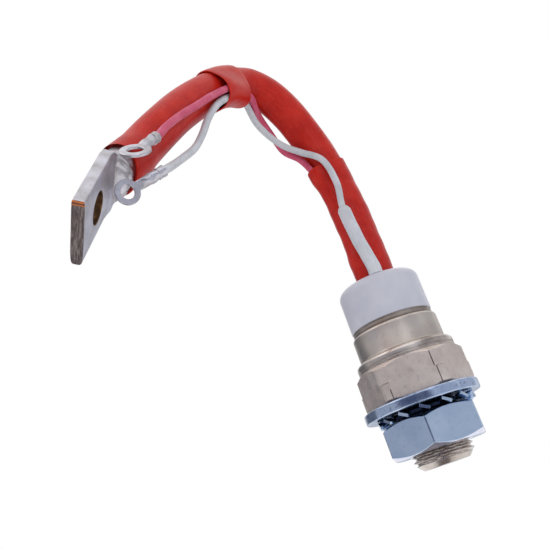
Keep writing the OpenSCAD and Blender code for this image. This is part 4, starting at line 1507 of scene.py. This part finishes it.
@dataclass
class RingTerminal(Assembly):
    """A crimped ring terminal: grip on the insulation, barrel on the conductor, tongue and ring.

    The grip, the barrel and the tongue are one row of cross-sections, from the wire to the ring.
    """

    name: str
    node: str
    end: Point
    middle: Point
    roll: float
    ring: float
    hole: float
    thickness: float = 0.8
    edge: float = 0.14
    sections: tuple[Section, ...] = (
        Section(-2.0, 1.45, 1.45), Section(-1.9, 1.6, 1.6), Section(-1.2, 1.6, 1.55),
        Section(-0.7, 1.45, 1.5), Section(-0.2, 1.6, 1.55), Section(0.15, 1.6, 1.6), Section(0.3, 1.4, 1.4),
        Section(1.0, 1.38, 1.42), Section(1.5, 1.05, 1.55, 2.4), Section(2.6, 1.02, 1.58, 2.4),
        Section(3.1, 1.35, 1.42, 2.0), Section(4.1, 1.38, 1.4), Section(4.5, 1.1, 1.4, 2.3),
        Section(5.0, 0.7, 1.4, 4.0), Section(5.4, 0.42, 1.32, 8.0))

    def build(self) -> Piece:
        """Make the terminal.

        Returns:
            The terminal.
        """
        frame = aimed(self.end, self.middle, self.roll)
        reach = (Vector(self.middle) - Vector(self.end)).length
        neck = reach - self.ring / 2
        sections = list(self.sections)
        if neck > 5.6:
            sections.append(Section(neck, 0.4, 1.3, 10.0))
        sections.append(Section(max(neck, 5.5) + 0.5, 0.39, 1.3, 10.0))
        count, steps = 40, 72
        verts = [frame @ p for s in sections for p in loft_ring(s, count)]
        faces = stitch(len(sections), count, True, False) + end_caps(len(sections), count)
        half, edge, outer, inner = self.thickness / 2, self.edge, self.ring / 2, self.hole / 2
        profile = [(inner + edge, -half), (outer - edge, -half), (outer, edge - half), (outer, half - edge),
                   (outer - edge, half), (inner + edge, half), (inner, half - edge), (inner, edge - half)]
        first = len(verts)
        verts += [frame @ Vector((x, r * c, reach + r * s)) for r, x in profile for _, c, s in circle(steps)]
        faces += [tuple(first + n for n in f) for f in stitch(len(profile), steps, True, True)]
        piece = place_piece(self.name, verts, faces, [self.looks.tin], "tin")
        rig.replaces(piece, self.node)
        return piece


@dataclass
class ControlWires(Assembly):
    """The white gate wire with its shrink tube, and the pink auxiliary cathode wire."""

    wire_radius: float = 1.13
    shrink_radius: float = 2.2
    shrink_wall: float = 0.3

    def build_wire(self, name: str, node: str, line: list[Vector], material: Material, slot: str) -> Piece:
        """Make one wire along its line.

        Args:
            name: the piece's name.
            node: the CAD node it stands for.
            line: points of its middle.
            material: its finish.
            slot: material slot of the record.

        Returns:
            The wire.
        """
        def radius(share: float, angle: float) -> float:
            """Radius of the insulation, a little uneven along it."""
            return self.wire_radius + 0.02 * math.sin(share * 60)

        piece = Tube(name, line, radius, 0.0, count=20).build(material, slot)
        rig.replaces(piece, node)
        return piece

    def build_shrink(self) -> Piece:
        """Make the shrink tube, drawn in tight where it ends on the wire.

        Returns:
            The tube.
        """
        line = smooth_route([(*GATE_ROUTE[0][:2], CAP_TOP), *GATE_ROUTE[1:4]], 12)

        def radius(share: float, angle: float) -> float:
            """Outer radius, wider over the gate tube and drawn in at the end."""
            reach = self.shrink_radius + 0.06 * (1 - ease((share - 0.1) / 0.08))
            return reach - 0.5 * ease((share - 0.96) / 0.04) + 0.03 * math.sin(share * 22 + angle)

        tube = Tube("white_shrink_tube", line, radius, self.shrink_wall, count=36)
        piece = tube.build(self.looks.shrink, "white_insulation")
        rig.replaces(piece, "gate_shrink")
        return piece


def build_lead_and_wires(looks: Finishes) -> None:
    """Args:
        looks: the finishes.
    """
    lead = CathodeLead(looks)
    rope = lead.build_rope()
    sleeves = [lead.build_long(), lead.build_short(), lead.build_collar()]
    lug = Lug(looks).build()
    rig.cord(rope, exit=(0, 0, CAP_TOP * MM), length=length_of(lead.route), diameter=2 * lead.rope_radius * MM,
            far_end="fitting", stiffness="stiff", lay="loose", path=metres(lead.route),
            with_pieces=sleeves + [lug])
    wires = ControlWires(looks)
    gate_end = RingTerminal(
        looks, "gate_ring_terminal", "gate_terminal", GATE_ROUTE[-1], (-48.5, -78.9, 62.5), 73, 6.7, 3.7)
    aux_end = RingTerminal(
        looks, "aux_ring_terminal", "aux_terminal", AUX_ROUTE[-1], (-43.8, -78.4, 72.9), 139, 8.2, 4.3)
    gate_line = smooth_route(GATE_ROUTE)
    aux_line = smooth_route(AUX_ROUTE)
    gate_wire = wires.build_wire("white_gate_wire", "gate_lead", gate_line, looks.white, "white_insulation")
    aux_wire = wires.build_wire("pink_aux_wire", "aux_lead", aux_line, looks.pink, "pink_insulation")
    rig.cord(gate_wire, exit=(0.0012, -0.0094, CAP_TOP * MM), length=length_of(gate_line),
            diameter=2 * wires.wire_radius * MM, far_end="fitting", stiffness="medium", lay="loose",
            path=metres(gate_line), with_pieces=[gate_end.build(), wires.build_shrink()])
    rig.cord(aux_wire, exit=(-0.0032, -0.0044, 0.0481), length=length_of(aux_line),
            diameter=2 * wires.wire_radius * MM, far_end="fitting", stiffness="medium", lay="loose",
            path=metres(aux_line), with_pieces=[aux_end.build()])


def dress_inner_nodes(nodes: dict[str, Piece], looks: Finishes) -> None:
    """Give each CAD node that stays its finish.

    Args:
        nodes: the CAD nodes by name.
        looks: the finishes.
    """
    kept = {
        looks.nickel: ["cathode_tube", "gate_tube"],
        looks.steel: ["clamp_cup", "pressure_washer", "disc_springs", "retaining_ring"],
        looks.moly: ["anode_plate"],
        looks.wafer: ["silicon_wafer"],
        looks.silver: ["cathode_contact_disc", "gate_pin"],
        looks.copper: ["cathode_post"],
        looks.ptfe: ["centring_ring", "insulating_washer", "gate_insulator"],
    }
    for material, names in kept.items():
        for name in names:
            for slot in nodes[name].material_slots:
                slot.material = material
            LOG.info("%s: %s", name, material.name)


# The studio
@dataclass(frozen=True)
class Card:
    """A grey card that only gloss sees, as the walls of a light tent. Its lengths are in metres.

    It stands at `angle` round Z, in degrees from -Y towards +X, `reach` away from Z and `offset` to its
    right, with its middle at `height`. A lying card is flat and faces up.
    """

    name: str
    shade: str
    angle: float
    reach: float = 0.5
    height: float = 0.13
    size: tuple[float, float] = (0.5, 0.5)
    offset: float = 0.0
    lying: bool = False

    def build(self) -> None:
        """Make the card, out of sight of the camera and without a shadow."""
        def glow(add: Add) -> Socket:
            """Its own plain light, as the shader's output."""
            return add("Emission", {"Color": linear(self.shade), "Strength": 1.0})

        turn = Matrix.Rotation(math.radians(self.angle), 3, "Z")
        w, h = self.size[0] / 2, self.size[1] / 2
        points = []
        for x, v in ((-w, -h), (w, -h), (w, h), (-w, h)):
            ahead, up = (v, 0.0) if self.lying else (0.0, v)
            points.append(turn @ Vector((self.offset + x, ahead - self.reach, self.height + up)))
        card = place_stage(self.name, points, make_material(self.name, glow))
        card.visible_camera = card.visible_diffuse = card.visible_shadow = False


@dataclass(frozen=True)
class Lamp:
    """A soft square lamp: where it stands and its width in metres, its power in watts, and its tint."""

    name: str
    place: Point
    size: float
    power: float
    tint: str = WHITE

    def build(self, target: Point) -> None:
        """Make the lamp.

        Args:
            target: what it points at, in metres.
        """
        data = bpy.data.lights.new(self.name, "AREA")
        data.energy, data.size = self.power, self.size
        data.color = linear(self.tint)[:3]
        lamp = bpy.data.objects.new(self.name, data)
        lamp.location = self.place
        lamp.rotation_mode = "QUATERNION"
        lamp.rotation_quaternion = (Vector(target) - Vector(self.place)).to_track_quat("-Z", "Y")
        bpy.context.scene.collection.objects.link(lamp)


def place_stage(name: str, points: Sequence[Sequence[float]], material: Material) -> Piece:
    """Add a flat part of the studio.

    Args:
        name: its name.
        points: its four corners, in metres.
        material: its material.

    Returns:
        The new object.
    """
    mesh = bpy.data.meshes.new(name)
    mesh.from_pydata(points, [], [(0, 1, 2, 3)])
    mesh.materials.append(material)
    flat = bpy.data.objects.new(name, mesh)
    bpy.context.scene.collection.objects.link(flat)
    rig.stage(flat)
    return flat


@dataclass
class Studio:
    """The camera, the floor, the lamps and the surroundings.

    The camera's `eye` is in millimetres, and `right`, `down` and `ahead` are its axes. The floor, the lamps
    and the cards are in metres, and the lamps point at `middle`.
    """

    focal_px: float = 700.0
    image_px: float = 550.0
    sensor_width: float = 36.0
    eye: Point = (0.0, -226.96, -24.67)
    right: Point = (0.92169, 0.23619, -0.30774)
    down: Point = (-0.366, 0.26646, -0.89165)
    ahead: Point = (-0.1286, 0.93446, 0.33204)
    floor_z: float = -0.25
    floor_half: float = 6.0
    floor_glow: float = 1.12
    floor_glow_share: float = 0.8
    daylight: float = 0.75
    middle: Point = (-0.02, -0.03, 0.05)
    lamps: tuple[Lamp, ...] = (
        Lamp("key", (-0.35, -0.3, 0.5), 0.45, 0.62), Lamp("fill", (0.31, -0.47, 0.2), 0.4, 0.5, "#F6F8FF"),
        Lamp("back", (0.1, 0.5, 0.35), 0.5, 0.5))
    cards: tuple[Card, ...] = (
        Card("front_wall", "#DCDEE4", -6), Card("right_front_wall", "#BEC4D0", 52),
        Card("right_wall", "#CED2DA", 110), Card("back_wall", "#CDD0D8", 175),
        Card("left_wall", "#787C86", 238), Card("left_front_wall", "#B2B6C2", 297),
        Card("camera_shade", "#525A76", -8, 0.36, 0.036, (0.46, 0.14)),
        Card("low_shade", "#8A8688", 0, -0.04, -0.2, (0.1, 0.5), -0.02, lying=True))

    def build_camera(self) -> None:
        """Put the camera where the photograph was taken from."""
        data = bpy.data.cameras.new("camera")
        data.sensor_width = self.sensor_width
        data.lens = self.sensor_width * self.focal_px / self.image_px
        data.clip_start, data.clip_end = 0.01, 20.0
        camera = bpy.data.objects.new("camera", data)
        axes = Matrix((Vector(self.right), -Vector(self.down), -Vector(self.ahead))).transposed()
        camera.matrix_world = Matrix.Translation(Vector(self.eye) * MM) @ axes.to_4x4()
        bpy.context.scene.collection.objects.link(camera)
        bpy.context.scene.camera = camera

    def build_world(self) -> None:
        """Plain white where the camera, gloss and glass look, and a softer light for the rest."""
        world = bpy.data.worlds.new("studio")
        bpy.context.scene.world = world
        world.use_nodes = True
        world.node_tree.nodes.clear()
        add = partial(add_node, world.node_tree)
        rays = ("Is Camera Ray", "Is Glossy Ray", "Is Transmission Ray")
        camera, glossy, glass = (add("LightPath", out=ray) for ray in rays)
        shown = add("Math", [add("Math", [camera, glossy], operation="MAXIMUM"), glass], operation="MAXIMUM")
        light = add("Background", {"Color": linear("#F4F6FA"), "Strength": self.daylight})
        seen = add("Background", {"Color": linear(WHITE), "Strength": 1.0})
        add("OutputWorld", {"Surface": add("MixShader", [shown, light, seen])})

    def floor_surface(self, add: Add) -> Socket:
        """Add the floor's nodes: a pale matt surface that takes the shadow, lifted to white for the camera.

        Args:
            add: adds a node.

        Returns:
            The shader's output.
        """
        place = add("TexCoord", out="Object")
        clouds = add("TexNoise", {"Vector": place, "Scale": per_mm(60.0), "Detail": 3.0})
        tone = add("ValToRGB", [clouds], stops=((0.3, "#F2F2F2"), (0.7, "#FAFAFA")))
        matt = add("BsdfPrincipled", {"Base Color": tone, "Roughness": 0.9})
        shine = add("Emission", {"Color": linear(WHITE), "Strength": self.floor_glow})
        camera, glossy = (add("LightPath", out=ray) for ray in ("Is Camera Ray", "Is Glossy Ray"))
        shown = add("Math", [camera, glossy], operation="MAXIMUM")
        share = add("Math", [shown, self.floor_glow_share], operation="MULTIPLY")
        return add("MixShader", [share, matt, shine])

    def build(self) -> None:
        """Make all of the studio but its camera."""
        self.build_world()
        w, z = self.floor_half, self.floor_z
        place_stage("floor", [(-w, -w, z), (w, -w, z), (w, w, z), (-w, w, z)],
                    make_material("pale_floor", self.floor_surface))
        for lamp in self.lamps:
            lamp.build(self.middle)
        for card in self.cards:
            card.build()
        bpy.context.scene.view_settings.view_transform = "Standard"


def corners(box: tuple[Vector, Vector]) -> list[list[float]]:
    """Both corners of a box as plain lists."""
    return [[float(c) for c in corner] for corner in box]


def main() -> None:
    """Build the dressed part and the studio round it."""
    logging.basicConfig(level=logging.INFO, format="%(name)s: %(message)s")
    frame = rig.load()
    cad_box = corners(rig.bounds())
    studio = Studio()
    studio.build_camera()
    looks = Finishes()
    build_lead_and_wires(looks)
    for assembly in (Base, Case, Fasteners):
        assembly(looks).build()
    dress_inner_nodes(frame["nodes"], looks)
    studio.build()
    with open("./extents.json", "w") as out:
        json.dump({"cad": cad_box, "visual": corners(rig.bounds())}, out)


if __name__ == "__main__":
    main()
